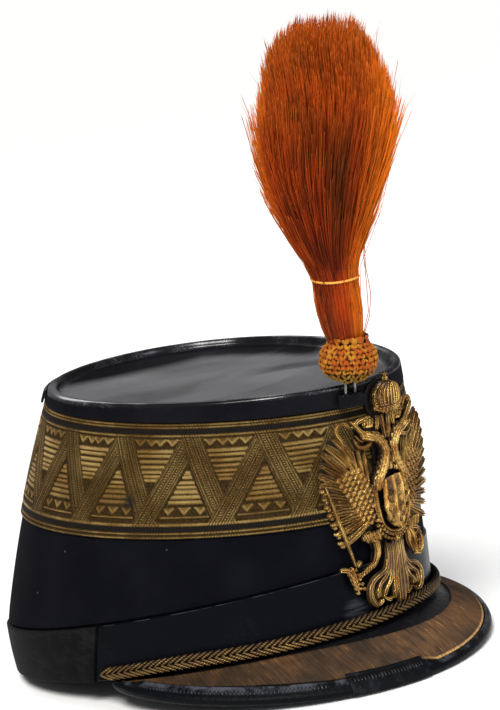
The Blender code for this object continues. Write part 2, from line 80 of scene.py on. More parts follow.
def edge_of(angle, length, width, centre):
    """An egg-shaped oval with its narrower end in front: sideways, and front to back."""
    across = width / 2 * np.sin(angle) * (1 - NARROWER_FRONT * np.cos(angle))
    return across, centre - length / 2 * np.cos(angle)


def outward(angle):
    """The level direction straight out from the base's edge."""
    x, y = edge_of(angle, BASE_LENGTH, BASE_WIDTH, 0)
    x, y = x / BASE_WIDTH ** 2, y / BASE_LENGTH ** 2
    return stacked(x / np.hypot(x, y), y / np.hypot(x, y), 0)


def crown_edges(angle):
    """The wall's foot and its rim at each angle."""
    foot = stacked(*edge_of(angle, BASE_LENGTH, BASE_WIDTH, 0), 0)
    x, y = edge_of(angle, TOP_LENGTH, TOP_WIDTH, -TOP_FORWARD)
    rise = (REAR_HEIGHT - FRONT_HEIGHT) * (y + TOP_FORWARD + TOP_LENGTH / 2) / TOP_LENGTH
    return foot, stacked(x, y, FRONT_HEIGHT + rise)


def wall_length(angle):
    foot, rim = crown_edges(angle)
    return np.linalg.norm(rim - foot, axis=-1)


def wall(angle, rise, stand):
    """Points `rise` up the wall from the base edge and `stand` outside the cloth."""
    angle, rise, stand = np.broadcast_arrays(angle, np.asarray(rise, float), stand)
    foot, rim = crown_edges(angle)
    share = rise / wall_length(angle)
    frontness = (1 + np.cos(angle)) / 2
    bulge = 4 * share * (1 - share) * SIDE_BULGE * (1 - frontness ** 3)
    tuck = REAR_TUCK * (1 - frontness) ** 2 * np.maximum(0, (TUCK_SHARE - share) / TUCK_SHARE) ** 1.3
    share, out = share[..., None], (bulge - tuck + stand)[..., None]
    return foot * (1 - share) + rim * share + outward(angle) * out


def peak_frame(angle):
    """The peak's inner edge, its direction down the slope, its normal and its length, at each angle."""
    share = np.minimum(1, np.abs(np.degrees(angle)) / PEAK_END)
    length = PEAK_LENGTH * (1 - share * share) ** 0.67
    droop = np.radians(PEAK_DROOP - LESS_DROOP_AT_END * share * share)
    cos, sin = np.cos(droop)[..., None], np.sin(droop)[..., None]
    up = np.array((0, 0, 1))
    slope, normal = outward(angle) * cos - up * sin, outward(angle) * sin + up * cos
    return wall(angle, 0, BAND_STANDS) - up * GAP, slope, normal, length - BAND_STANDS


def on_peak(angle, distance, height):
    """Points on the peak, `distance` out from the base edge and `height` over its upper face."""
    start, slope, normal, length = peak_frame(angle)
    share = distance / length
    arch = PEAK_ARCH * 4 * share * (1 - share) * length / PEAK_LENGTH
    return start + slope * distance[..., None] + normal * (arch + height)[..., None]


rear_foot = wall(math.pi, 0, BAND_STANDS)
tip = on_peak(np.array(0.0), peak_frame(np.array(0.0))[3], np.array(-1.0))
tipped = Matrix.Rotation(-math.radians(REST_TILT), 4, "X")
seat_height = -(tipped @ Vector((0, rear_foot[1], REST_FLAT))).z
seat_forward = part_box("peak_binding")[0].y * 1000 - (tipped @ Vector(tip)).y
SEAT = Matrix.Scale(0.001, 4) @ Matrix.Translation((0, seat_forward, seat_height)) @ tipped

# ---------------------------------------------------------------------------------------------------------
# The camera is the photograph's, placed in the hat's own frame and tipped with it. It looks at the hat
# from in front of the wearer's right temple, a little from above.
VIEW_AROUND, VIEW_ABOVE, VIEW_ROLL = math.radians(-46), math.radians(5.1), math.radians(12.53)
VIEW_DISTANCE = 1188
AIM_ACROSS, AIM_UP = 12.3, 122.6
PICTURE_HEIGHT, FOCAL_PIXELS = 710, 2591
SENSOR = 36

level = math.cos(VIEW_ABOVE)
back = Vector((math.sin(VIEW_AROUND) * level, -math.cos(VIEW_AROUND) * level, math.sin(VIEW_ABOVE)))
right = (-back).cross(Vector((0, 0, 1))).normalized()
up = right.cross(-back)
turned_right = right * math.cos(VIEW_ROLL) - up * math.sin(VIEW_ROLL)
turned_up = up * math.cos(VIEW_ROLL) + right * math.sin(VIEW_ROLL)
eye = turned_right * AIM_ACROSS + turned_up * AIM_UP + back * VIEW_DISTANCE
pose = Matrix((turned_right, turned_up, back)).transposed().to_4x4()
lens = bpy.data.cameras.new("camera")
lens.sensor_width = SENSOR
lens.lens = FOCAL_PIXELS * SENSOR / PICTURE_HEIGHT
camera = bpy.data.objects.new("camera", lens)
bpy.context.collection.objects.link(camera)
camera.matrix_world = Matrix.Translation(SEAT @ eye) @ tipped @ pose
bpy.context.scene.camera = camera

# ---------------------------------------------------------------------------------------------------------
# A pale studio: a broad floor, a grey-white surround and three soft lamps. The first class holds a shader
# socket and lets the finishes below be written as plain arithmetic.


class Shade:
    """A value in a material: operators add Math nodes, and node() adds any other."""

    def __init__(self, tree, socket):
        self.tree = tree
        self.socket = socket

    def node(self, kind, settings, inputs, output=0):
        made = self.tree.nodes.new(kind)
        for name, value in settings.items():
            setattr(made, name, value)
        for key, value in inputs.items():
            if isinstance(value, Shade):
                self.tree.links.new(value.socket, made.inputs[key])
            else:
                made.inputs[key].default_value = value
        return Shade(self.tree, made.outputs[output])

    def math(self, operation, *values):
        return self.node("ShaderNodeMath", {"operation": operation}, dict(enumerate(values)))

    def __add__(self, other):
        return self.math("ADD", self, other)

    def __mul__(self, other):
        return self.math("MULTIPLY", self, other)

    def __sub__(self, other):
        return self.math("SUBTRACT", self, other)

    def __rsub__(self, other):
        return self.math("SUBTRACT", other, self)

    __radd__ = __add__
    __rmul__ = __mul__

    def most(self, other):
        return self.math("MAXIMUM", self, other)

    def least(self, other):
        return self.math("MINIMUM", self, other)

    def sine(self):
        return self.math("SINE", self)

    def between(self, low, high):
        """0 below low, 1 above high, eased from one to the other."""
        settings = {"interpolation_type": "SMOOTHSTEP"}
        return self.node("ShaderNodeMapRange", settings, {0: self, 1: low, 2: high})

    def colour(self, first, second):
        """From the first colour at 0 to the second at 1."""
        ends = {6: first, 7: second}
        for key, end in ends.items():
            ends[key] = end if isinstance(end, Shade) else (*end, 1)
        return self.node("ShaderNodeMix", {"data_type": "RGBA"}, {0: self, **ends}, 2)

    def grain(self, scale, detail=3.0, roughness=0.5, distortion=0.0):
        """Cloudy noise at places given in millimetres; scale is its grain for each millimetre."""
        sizes = {"Scale": scale, "Detail": detail, "Roughness": roughness, "Distortion": distortion}
        return self.node("ShaderNodeTexNoise", {}, {"Vector": self, **sizes})

    def stretched(self, x, y, z):
        return self.node("ShaderNodeVectorMath", {"operation": "MULTIPLY"}, {0: self, 1: (x, y, z)})

    def part(self, index):
        return self.node("ShaderNodeSeparateXYZ", {}, {0: self}, index)

    def cracks(self, width, scale=5.0):
        """1 in the cracks between irregular cells, easing to 0 at a width."""
        cells = {"Vector": self, "Scale": scale}
        edges = self.node("ShaderNodeTexVoronoi", {"feature": "DISTANCE_TO_EDGE"}, cells)
        return 1 - edges.between(0, width)

    def away_from(self, spot):
        """How far places in millimetres are from one spot on the hat."""
        there = SEAT @ Vector(spot) * 1000
        return self.node("ShaderNodeVectorMath", {"operation": "DISTANCE"}, {0: self, 1: there}, 1)


class Finish:
    """A material: its places in millimetres, its cover map and what its surface is fed."""

    def __init__(self, name, colour, roughness, **constants):
        self.material = bpy.data.materials.new(name)
        self.material.use_nodes = True
        tree = self.material.node_tree
        self.shader = tree.nodes["Principled BSDF"]
        self.feed(Base_Color=(*colour, 1), Roughness=roughness, **constants)
        place = Shade(tree, tree.nodes.new("ShaderNodeTexCoord").outputs["Object"])
        self.place = place.stretched(1000, 1000, 1000)
        self.cover = place.node("ShaderNodeUVMap", {"uv_map": "cover"}, {})

    def attribute(self, name):
        return self.place.node("ShaderNodeAttribute", {"attribute_name": name}, {}, 2)

    def feed(self, **inputs):
        for name, value in inputs.items():
            socket = self.shader.inputs[name.replace("_", " ")]
            if isinstance(value, Shade):
                self.material.node_tree.links.new(value.socket, socket)
            else:
                socket.default_value = value

    def bump(self, height, depth, strength=1.0):
        """Height from 0 to 1 stands for depth in millimetres."""
        sizes = {"Height": height, "Distance": depth * 0.001, "Strength": strength}
        self.feed(Normal=height.node("ShaderNodeBump", {}, sizes))


def lamp(name, place, aim, size, power, colour):
    light = bpy.data.lights.new(name, "AREA")
    light.shape = "RECTANGLE"
    light.size, light.size_y = size
    light.energy = power
    light.color = colour
    holder = bpy.data.objects.new(name, light)
    holder.location = place
    holder.rotation_euler = (Vector(aim) - Vector(place)).to_track_quat("-Z", "Y").to_euler()
    bpy.context.collection.objects.link(holder)


HAT_MIDDLE = (0, 0, 0.12)
key = bpy.data.lights.new("key", "SUN")
key.energy, key.angle, key.color = 3.7, math.radians(26), (1, 0.98, 0.95)
holder = bpy.data.objects.new("key", key)
holder.rotation_euler = Vector((-1.25, -0.75, 1.65)).to_track_quat("Z", "Y").to_euler()
bpy.context.collection.objects.link(holder)
lamp("side", (-0.2, -2.2, 1.0), HAT_MIDDLE, (0.5, 1.4), 14, (0.86, 0.93, 1))
lamp("rear", (0.9, 1.7, 1.3), HAT_MIDDLE, (1.6, 0.5), 14, (1, 1, 1))

# The surround is white behind the hat and half as bright where it lights it.
surround = bpy.data.worlds.new("studio")
surround.use_nodes = True
nodes, links = surround.node_tree.nodes, surround.node_tree.links
lit = nodes["Background"]
lit.inputs["Color"].default_value = (0.96, 0.98, 1, 1)
lit.inputs["Strength"].default_value = 0.27
seen = nodes.new("ShaderNodeBackground")
seen.inputs["Color"].default_value = (1, 1, 1, 1)
either = nodes.new("ShaderNodeMixShader")
links.new(nodes.new("ShaderNodeLightPath").outputs["Is Camera Ray"], either.inputs[0])
links.new(lit.outputs[0], either.inputs[1])
links.new(seen.outputs[0], either.inputs[2])
links.new(either.outputs[0], nodes["World Output"].inputs["Surface"])
bpy.context.scene.world = surround
bpy.context.scene.view_settings.view_transform = "Standard"

bm = bmesh.new()
bmesh.ops.create_circle(bm, cap_ends=True, segments=96, radius=40)
bmesh.ops.translate(bm, vec=(0, 0, -0.0004), verts=bm.verts)
mesh = bpy.data.meshes.new("floor")
bm.to_mesh(mesh)
bm.free()
floor = bpy.data.objects.new("floor", mesh)
bpy.context.collection.objects.link(floor)
paper = Finish("floor_paper", (0.93, 0.93, 0.93), 0.9)
paper.bump(paper.place.grain(0.4, 4), 0.05)
mesh.materials.append(paper.material)

# ---------------------------------------------------------------------------------------------------------
# Crown: stiffened card under deep navy-black felted cloth, drawn tight, with a little lint. It thins under
# the base leather at its foot and inside the leather rim at its top.
CLOTH_WALL, UNDER_LEATHER, RIM_WALL, LEATHER = 3.0, 1.3, 1.8, 1.2
RECESS, DISC_LEATHER, BAND_THICK = 4.0, 1.8, 1.8
BAND_FRONT, BAND_REAR = 27.5, 24.0
FULL_TURN = 2 * math.pi


def by_frontness(angle, front, rear):
    """A measure that changes evenly from the front of the hat to its rear."""
    return (front + rear) / 2 + (front - rear) / 2 * np.cos(angle)


def band_height(angle):
    return by_frontness(angle, BAND_FRONT, BAND_REAR)


def grid(bm, columns, rows):
    """Adds a grid; gives its vertices and their shares of the way across and along."""
    made = bmesh.ops.create_grid(bm, x_segments=columns, y_segments=rows, size=0.5, calc_uvs=True)["verts"]
    shares = np.array([vert.co[:2] for vert in made]) + 0.5
    return made, shares[:, 0], shares[:, 1]


def moved(verts, places):
    for vert, place in zip(verts, places):
        vert.co = place


def laid(columns, rows, place, wrap=False):
    """A grid moved onto the hat: place() takes shares across and along and gives millimetres."""
    bm = bmesh.new()
    bm.loops.layers.uv.new("cover")
    made, across, along = grid(bm, columns, rows)
    moved(made, place(across, along))
    if wrap:
        bmesh.ops.remove_doubles(bm, verts=bm.verts, dist=0.001)
    return bm


def along_section(along, corners):
    """Two measures at shares of the way round a closed section; its corners may change with the angle."""
    table = np.array([np.broadcast_arrays(along, *corner)[1:] for corner in corners + corners[:1]])
    place = along * (len(table) - 1)
    low = np.minimum(place.astype(int), len(table) - 2)
    index = np.arange(len(along))
    part = (place - low)[:, None]
    return (table[low, :, index] * (1 - part) + table[low + 1, :, index] * part).T


def piece(name, bm, finish, *nodes, slot=None, sharp=50):
    """Sets a shape made in the hat's own millimetres on the floor, as one object of the hat."""
    bmesh.ops.recalc_face_normals(bm, faces=bm.faces)
    bm.transform(SEAT)
    mesh = bpy.data.meshes.new(name)
    bm.to_mesh(mesh)
    bm.free()
    mesh.shade_smooth()
    mesh.set_sharp_from_angle(angle=math.radians(sharp))
    mesh.materials.append(finish.material)
    made = bpy.data.objects.new(name, mesh)
    bpy.context.collection.objects.link(made)
    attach(made, "root")
    if nodes:
        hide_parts(*nodes)


slot_of = {entry["node"]: entry["material_slot"] for entry in frame["record"]["subparts"]}


def crown_wall(across, along):
    angle = across * FULL_TURN
    high, band = wall_length(angle), band_height(angle)
    foot, under_disc = BAND_THICK + GAP, RECESS + DISC_LEATHER + GAP
    corners = [(foot, -UNDER_LEATHER), (band + GAP, -UNDER_LEATHER), (band + 1.5, 0)]
    corners += [(band + share * (high - under_disc - band), 0) for share in (0.25, 0.5, 0.75, 1)]
    corners += [(high - LEATHER - 2 * GAP, 0), (high - LEATHER - 2 * GAP, -RIM_WALL)]
    corners += [(high - under_disc, -RIM_WALL), (high - under_disc, -CLOTH_WALL)]
    corners += [(high * share, -CLOTH_WALL) for share in (0.75, 0.55, 0.35)]
    corners += [(band, -CLOTH_WALL), (foot, -UNDER_LEATHER - CLOTH_WALL)]
    rise, stand = along_section(along, corners)
    return wall(angle, rise, stand)


cloth = Finish("black_cloth", (0.0075, 0.008, 0.0115), 0.92, Specular_IOR_Level=0.04)
fuzz = cloth.place.grain(3.2, 6, 0.7)
patches = cloth.place.grain(0.035, 3)
specks = cloth.place.node("ShaderNodeTexVoronoi", {}, {"Vector": cloth.place, "Scale": 0.07})
lint = 1 - specks.between(0.02, 0.035)
worn = (patches * 0.7 + fuzz * 0.3).between(0.35, 0.75)
felt = worn.colour((0.0025, 0.0027, 0.0045), (0.0055, 0.0058, 0.0085))
cloth.feed(Base_Color=(lint * 0.5).colour(felt, (0.16, 0.17, 0.18)))
cloth.bump(fuzz, 0.25)
piece("crown_cloth", laid(144, 64, crown_wall, wrap=True), cloth, "crown_body")

# ---------------------------------------------------------------------------------------------------------
# Top: one lid of thick patent leather, wetted and pressed over the crown. Its rim is a soft roll that runs
# down outside the lace's edge, and inside it drops to a sunk disc that sags a little.
SKIRT_FRONT, SKIRT_REAR = 9.8, 5.6
DISC_DISH = 2.6
LEG_IN = -RIM_WALL - GAP - LEATHER
DISC_EDGE = LEG_IN - 3.6
# The grid runs from the middle of the disc's underside, out over the rim and back in over its upper face.
UNDERSIDE_ENDS, ROLL_ENDS = 0.14, 0.64


def below_rim(angle, drop, stand):
    """The same places as wall() gives, measured down from the rim."""
    return wall(angle, wall_length(angle) - drop, stand)


def skirt_depth(angle):
    return by_frontness(angle, SKIRT_FRONT, SKIRT_REAR)


def soft(points, grain, seed):
    """Slow unevenness, from -1 to 1, at places in millimetres."""
    moved = points * grain + seed
    return np.array([noise.noise(Vector(spot)) for spot in moved])


def top_leather(across, along):
    """The lid in one grid: the disc's underside, the folded rim, and the disc's upper face."""
    angle = across * FULL_TURN
    skirt = skirt_depth(angle)
    deep = RECESS + DISC_LEATHER
    fold = [(deep, LEG_IN + LEATHER), (LEATHER + GAP, LEG_IN + LEATHER), (LEATHER + GAP, GAP),
            (skirt, GAP)]
    fold += [(skirt, 1.15), (skirt - 0.4, 1.5), (skirt * 0.66, 1.5), (3.4, 1.5), (2.6, 1.5), (1.9, 1.5)]
    fold += [(1.1, 1.42), (0.55, 1.1), (0.15, 0.6), (0, 0), (0, -0.9), (0.08, -1.6), (0.4, -2.3),
             (0.95, -2.9)]
    fold += [(1.8, LEG_IN - 0.3), (2.7, LEG_IN - 0.9), (3.4, LEG_IN - 1.8), (RECESS - 0.1, LEG_IN - 3.0)]
    share = (np.clip((along - UNDERSIDE_ENDS) / (ROLL_ENDS - UNDERSIDE_ENDS), 0, 1)
             * (len(fold) - 1) / len(fold))
    drop, stand = along_section(share, fold)
    points = below_rim(angle, drop, stand)
    edge = below_rim(angle, RECESS, DISC_EDGE)
    all_round = np.linspace(0, FULL_TURN, 72, endpoint=False)
    centre = below_rim(all_round, RECESS, DISC_EDGE).mean(axis=0)
    slope = math.atan2(REAR_HEIGHT - FRONT_HEIGHT, TOP_LENGTH)
    level = np.array((0, -math.sin(slope), math.cos(slope)))
    below, above = along < UNDERSIDE_ENDS, along > ROLL_ENDS
    reach = np.where(below, along / UNDERSIDE_ENDS, (1 - along) / (1 - ROLL_ENDS))
    under = np.where(below, DISC_LEATHER, 0)
    flat = centre + (edge - centre) * reach[:, None]
    sag = DISC_DISH * (1 - np.minimum(reach, 1) ** 2) + 0.5 * soft(flat, 0.03, 4) * (1 - reach ** 4)
    disc = flat - level * (sag + under)[:, None]
    return np.where((below | above)[:, None], disc, points)


patent = Finish("patent_leather", (0.006, 0.006, 0.008), 0.3)
patent.feed(Specular_IOR_Level=0.0, Coat_Roughness=0.2, Coat_IOR=1.62)
out_from_middle = patent.cover.part(1)
wear = patent.place.grain(0.035, 4, 0.6)
cells = patent.place.stretched(0.45, 0.45, 0.16)
on_rim = out_from_middle.between(0.34, 0.38) * (1 - out_from_middle.between(0.62, 0.645))
rim_cracks = cells.cracks(0.07, 1.6) * on_rim * wear.between(0.44, 0.6)
smears = patent.place.stretched(0.012, 0.03, 0.03).grain(1.0, 3, 0.5, 0.6)
dust = patent.place.grain(0.9, 6, 0.75).between(0.5, 0.85)
aged = (dust * 0.4 + smears * 0.5).between(0.1, 0.8).colour((0.0045, 0.0045, 0.006), (0.016, 0.016, 0.019))
patent.feed(Roughness=0.15 + (1 - on_rim) * (0.08 + smears * 0.36) + dust * 0.06)
# Painted reflection on the disc, in bands: a bright sheen, a darker band, and painted shade on the far
# part and edge.
sideways, lengthways = patent.place.part(0), patent.place.part(1)
over = sideways * 0.72 + lengthways * 0.69 + smears * 16 - 8
along_it = sideways * 0.69 - lengthways * 0.72
far_edge = ((1 - out_from_middle.between(0.67, 0.77)) * over.between(18, 44)
            * (1 - along_it.between(36, 60)))
painted_far_shade = (over - along_it * 0.55).between(50, 78).most(far_edge * 0.8)
painted_dark_band = over.between(6, 12) * (1 - over.between(17, 26)) * along_it.between(0, 34)
band = over - along_it * 0.85
glow = band.between(-36, -24) * (1 - band.between(-14, -2))
painted_sheen = (smears * 1.1 + 0.02 + glow * 0.22 - painted_dark_band * 0.42 - painted_far_shade * 0.9).between(-0.1, 0.8)
on_disc = out_from_middle.between(0.61, 0.645)
glossed = on_rim * (0.2 + wear.between(0.35, 0.65) * 0.6)
patent.feed(Coat_Weight=glossed + on_disc * painted_sheen + 0.03)
# The painted sheen also lightens the disc's colour, over its real dust and smears.
dust_and_sheen = (on_disc * painted_sheen).colour(aged, (0.04, 0.039, 0.043))
patent.feed(Base_Color=(rim_cracks * 0.75).colour(dust_and_sheen, (0.13, 0.135, 0.15)))
patent.bump(patent.place.grain(0.06, 3) * 1.6 + on_rim * patent.place.grain(0.35, 4) * 0.9
            - rim_cracks * 0.35, 0.6)
piece("top_leather", laid(200, 96, top_leather, wrap=True), patent, "crown_top")

# A narrow reinforcing strip of dull leather is sewn over the rim's skirt round the back, with its outer
# edge pared thin.
STRIP_HALF_ANGLE, STRIP_FOOT = 42, 6.8


def close_ends(bm):
    """Flat caps over whatever a strip still has open."""
    open_edges = [edge for edge in bm.edges if edge.is_boundary]
    bmesh.ops.holes_fill(bm, edges=open_edges, sides=0)
    return bm


def rear_strip(across, along):
    angle = np.radians(180 + STRIP_HALF_ANGLE * (2 * across - 1))
    low = STRIP_FOOT + 0.15 * np.sin(angle * 40)
    corners = [(0.8, 1.8), (1.0, 2.7), (1.5, 3.1), (3.5, 3.1), (5.6, 3.1), (low - 0.3, 2.9),
               (low, 2.4), (low, 1.8)]
    drop, stand = along_section(along, corners + [(4.0, 1.8)])
    return below_rim(angle, drop, stand)


strip = Finish("strip_leather", (0.009, 0.0095, 0.011), 0.42, Specular_IOR_Level=0.08)
strip_wear = strip.place.grain(0.3, 5, 0.6)
strip.feed(Base_Color=strip_wear.between(0.5, 0.8).colour((0.007, 0.0075, 0.0085), (0.03, 0.03, 0.03)))
strip.feed(Roughness=0.3 + strip_wear * 0.35)
strip.bump(strip.place.grain(1.1, 5), 0.25)
piece("rear_strip", close_ends(laid(90, 18, rear_strip, wrap=True)), strip, "rear_rim_strip")

# ---------------------------------------------------------------------------------------------------------
# Lace: a 50 mm band woven of gold-wrapped thread on black silk, sewn round under the rim. Broad legs
# zigzag along it, each of three flat cords with beads between; bars and small teeth fill the triangles.
LACE_WIDTH, LACE_DROP, LACE_STAND = 50, 58, 1.0
LACE_PERIODS, FIRST_TOP = 16, -60.7
LEG_SLOPE, LEG_WIDTH = 0.48, 9.85
FIELD_TOP, FIELD_FOOT = 6.0, 43.0
# How far down the lace its legs part under a peak of the zigzag, and meet again above a foot of it.
LEGS_PART, LEGS_MEET = 16.7, 32.3
FIELD_MIDDLE, FIELD_MARGIN = 5.14, 0.9
EDGE_CORDS = ((0.6, 0.35), (1.8, 0.4), (5.3, 0.5), (43.7, 0.5), (47.6, 0.4), (49.4, 0.35))
BARS_UP = (21.2, 23.1, 25.5, 27.4, 29.5, 31.7, 34.0)
BARS_DOWN = (13.9, 16.3, 18.6, 20.8, 22.7, 24.4, 11.9)
TEETH_UP, TEETH_DOWN = 6.9, 5.78


def ridge(place, middle, half, soften=0.25):
    """1 along a raised line, easing to 0 past its half width."""
    return np.clip((half - np.abs(place - middle)) / soften + 0.5, 0, 1)


def within(place, low, high, soften=0.25):
    """1 between two lines, easing to 0 outside them."""
    return ridge(place, (low + high) / 2, (high - low) / 2, soften)


def way_along(points):
    """How far each point of a row is from the first, measured along the row."""
    return np.concatenate(([0], np.cumsum(np.linalg.norm(np.diff(points, axis=0), axis=1))))


# The lace's length is measured half way down it, and its pattern is laid out along that way.
lace_angle = np.linspace(-math.pi, math.pi, 2881)
lace_way = way_along(below_rim(lace_angle, (LACE_DROP + skirt_depth(lace_angle)) / 2, LACE_STAND))
LACE_LENGTH = lace_way[-1]


def legs(way, down):
    """Shares across the leg that lies on top at each place, and -1 beside the legs."""
    period = LACE_LENGTH / LACE_PERIODS
    fall = np.mod(way - FIRST_TOP - (down - FIELD_TOP) * LEG_SLOPE, period)
    first_foot = FIRST_TOP + (LEGS_PART - FIELD_TOP) * LEG_SLOPE
    rise = np.mod(way - first_foot + (down - LEGS_PART) * LEG_SLOPE + LEG_WIDTH, period)
    falls, rises = fall < LEG_WIDTH, rise < LEG_WIDTH
    upper = down < (FIELD_TOP + FIELD_FOOT) / 2
    fall_on_top = falls & (upper | ~rises)
    share = np.where(fall_on_top, fall, rise) / LEG_WIDTH
    return np.where(falls | rises, share, -1)


def toothed(inside):
    """A small triangle worked as a raised outline round a lower middle."""
    return np.clip(inside + 0.5, 0, 1) - 0.6 * np.clip(inside * 1.4 - 1.0, 0, 1)


def lace_relief(way, down):
    """How far the woven pattern stands up, in millimetres, and how much of it is gold."""
    cords = np.maximum.reduce([ridge(down, at, half) for at, half in EDGE_CORDS])
    ribs = within(down, 2.6, 4.6) + within(down, 44.4, 46.8)
    share = legs(way, down)
    on_leg = (share >= 0) & (down > FIELD_TOP) & (down < FIELD_FOOT)
    strips = np.maximum.reduce([ridge(share, at, 0.115, 0.06) for at in (0.145, 0.5, 0.855)])
    beads = ridge(share, 0.325, 0.03, 0.05) + ridge(share, 0.675, 0.03, 0.05)
    leg = np.where(on_leg, 0.42 + strips * 0.4 + beads * 0.25, 0)
    period = LACE_LENGTH / LACE_PERIODS
    phase = np.mod(way - FIRST_TOP - FIELD_MIDDLE + period / 2, period) - period / 2
    half_up = np.maximum(0, (down - LEGS_PART) * LEG_SLOPE - FIELD_MARGIN)
    half_down = np.maximum(0, (LEGS_MEET - down) * LEG_SLOPE - FIELD_MARGIN)
    in_up = (np.abs(phase) < half_up) & (down < FIELD_FOOT) & ~on_leg
    in_down = (period / 2 - np.abs(phase) < half_down) & (down > FIELD_TOP) & ~on_leg
    bars_up = np.maximum.reduce([ridge(down, at, 0.68, 0.5) for at in BARS_UP])
    bars_up = np.maximum(bars_up, ridge(down, 40.6, 0.4, 0.4))
    bars_down = np.maximum.reduce([ridge(down, at, 0.68, 0.5) for at in BARS_DOWN])
    tooth = np.abs(np.mod(phase / TEETH_UP + 0.5, 1) - 0.5) * TEETH_UP
    teeth_up = within(down, 36, 39.6) * toothed((39.6 - down) * 0.85 - tooth)
    tooth = np.abs(np.mod(phase / TEETH_DOWN, 1) - 0.5) * TEETH_DOWN
    teeth_down = within(down, 6.9, 9.9) * toothed((9.9 - down) * 1.0 - tooth)
    field = (np.where(in_up, np.maximum(bars_up, teeth_up), 0)
             + np.where(in_down, np.maximum(bars_down, teeth_down), 0))
    gold = np.maximum.reduce([cords * 0.8, np.where(on_leg, 0.2 + strips * 0.2, 0), field])
    relief = np.maximum.reduce([cords * 0.75, ribs * 0.5, leg, field * 0.8])
    return relief, gold, np.where(on_leg, beads, 0), share


# How far down each row of the grid lies: two rows over the upper edge, the front, and the way up the back.
LACE_COLUMNS, FRONT_ROWS = 1030, 86
LACE_ROWS = ([0.0] * 2 + list(np.linspace(0, LACE_WIDTH, FRONT_ROWS))
             + [LACE_WIDTH, LACE_WIDTH * 0.66, LACE_WIDTH * 0.33, 0.0])


def woven(across, along):
    """The band's section: over its upper edge, down its front with the relief, and up its back."""
    angle = np.interp(across * LACE_LENGTH, lace_way, lace_angle)
    row = np.rint(along * (len(LACE_ROWS) - 1)).astype(int)
    down = np.array(LACE_ROWS)[row]
    front = (row > 1) & (row < FRONT_ROWS + 2)
    up_at_rim = skirt_depth(angle) + GAP
    drop = up_at_rim + down / LACE_WIDTH * (LACE_DROP - up_at_rim)
    height, gold, beads, leg = lace_relief(across * LACE_LENGTH - LACE_LENGTH / 2, down)
    inner = np.where(row == 1, GAP + LACE_STAND * 0.5, GAP)
    stand = np.where(front, GAP + LACE_STAND * 0.55 + height * 0.62, inner)
    lace_kinds.extend((np.where(front, gold, 0.3), np.where(front, beads, 0), leg))
    return below_rim(angle, drop, stand)


def marked(bm, names, values):
    """Gives every vertex its numbers, in one layer for each name, for the finish to read."""
    for name, numbers in zip(names, values):
        layer = bm.verts.layers.float.new(name)
        for vert, number in zip(bm.verts, numbers):
            vert[layer] = number


lace_kinds = []
bm = laid(LACE_COLUMNS, len(LACE_ROWS) - 1, woven)
marked(bm, ("gold", "bead", "leg"), lace_kinds)
cover = bm.loops.layers.uv["cover"]
for face in bm.faces:
    for loop in face.loops:
        across, along = loop[cover].uv
        down = LACE_ROWS[round(along * (len(LACE_ROWS) - 1))]
        loop[cover].uv = across * LACE_LENGTH / 100, down / 100
bmesh.ops.remove_doubles(bm, verts=bm.verts, dist=0.001)
lace = Finish("gold_lace", (0.2, 0.12, 0.04), 0.42, Metallic=0.6, Specular_IOR_Level=0.03)
way, down = lace.cover.part(0) * 100, lace.cover.part(1) * 100
share, bead = lace.attribute("gold"), lace.attribute("bead").between(0.2, 0.8)
twill = ((way + down * 0.6) * (FULL_TURN / 0.62)).sine() * 0.5 + 0.5
dots = ((down * (FULL_TURN / 1.05)).sine() * 0.5 + 0.5).between(0.3, 0.7)
across_leg = lace.attribute("leg")
on_leg = across_leg.between(-0.02, 0.02)
fine_cords = (across_leg * (FULL_TURN * 8)).sine() * 0.5 + 0.5
ticks = ((way * (FULL_TURN / 0.66)).sine() * 0.5 + 0.5).between(0.35, 0.8)
borders = down.between(2.3, 2.6) * (1 - down.between(4.4, 4.7))
borders = borders + down.between(44.4, 44.7) * (1 - down.between(46.7, 47.0))
tarnish = lace.place.grain(0.045, 4, 0.6)
broken = lace.place.grain(1.7, 4, 0.75)
woven_gold = share * (1 - bead) * (1 - on_leg * (0.65 - fine_cords * 0.8)) + bead * dots * 1.5
bright = (woven_gold * (broken * 2.4 - 0.2) * (0.45 + tarnish * 0.9)).between(0.05, 1.0)
warm = tarnish.between(0.35, 0.65).colour((0.40, 0.215, 0.055), (0.74, 0.50, 0.17))
ground = broken.between(0.35, 0.65).colour((0.008, 0.0045, 0.002), (0.075, 0.044, 0.015))
threads = (bright * (0.55 + 0.45 * twill)).colour(ground, warm)
ribbed = (ticks * 0.16).colour((0.004, 0.004, 0.0055), (0.12, 0.09, 0.045))
from_stain = lace.place.away_from(below_rim(math.radians(-80.5), 42, 1.5))
stained = (1 - (from_stain + broken * 3).between(2.5, 6)) * 0.75
dirt = borders.colour(threads, ribbed)
lace.feed(Base_Color=stained.colour(dirt, (0.016, 0.017, 0.018)))
lace.feed(Metallic=(bright * (1 - borders) * 0.75).least(1 - stained), Roughness=0.6 - bright * 0.28)
lace.bump(share * 0.9 + (twill * 0.5) * (1 - borders) + ticks * borders * 0.8 + broken * 0.4
          + dots * bead, 0.6)
piece("lace", bm, lace, "lace_band", sharp=80)

# ---------------------------------------------------------------------------------------------------------
# Base bands: strips of leather glued round the foot of the wall and turned in under its edge. The rear one
# is dull and its ends are folded over at the temples; the front one is patent, with a crackled upper edge.
BAND_JOINT, FOLD_ANGLE, FOLD_THICK = 85.5, 3.0, 1.6
WAVY_EDGE = 0.45


def floor_height(y):
    """How high the floor is in the hat's own frame, at places front to back."""
    rear = wall(math.pi, 0, BAND_STANDS)
    return REST_FLAT - (rear[1] - y) * math.tan(math.radians(REST_TILT))


def on_floor(points):
    """Leather that would reach through the floor is pressed flat on it."""
    pressed = np.array(points)
    pressed[:, 2] = np.maximum(pressed[:, 2], floor_height(pressed[:, 1]))
    return pressed


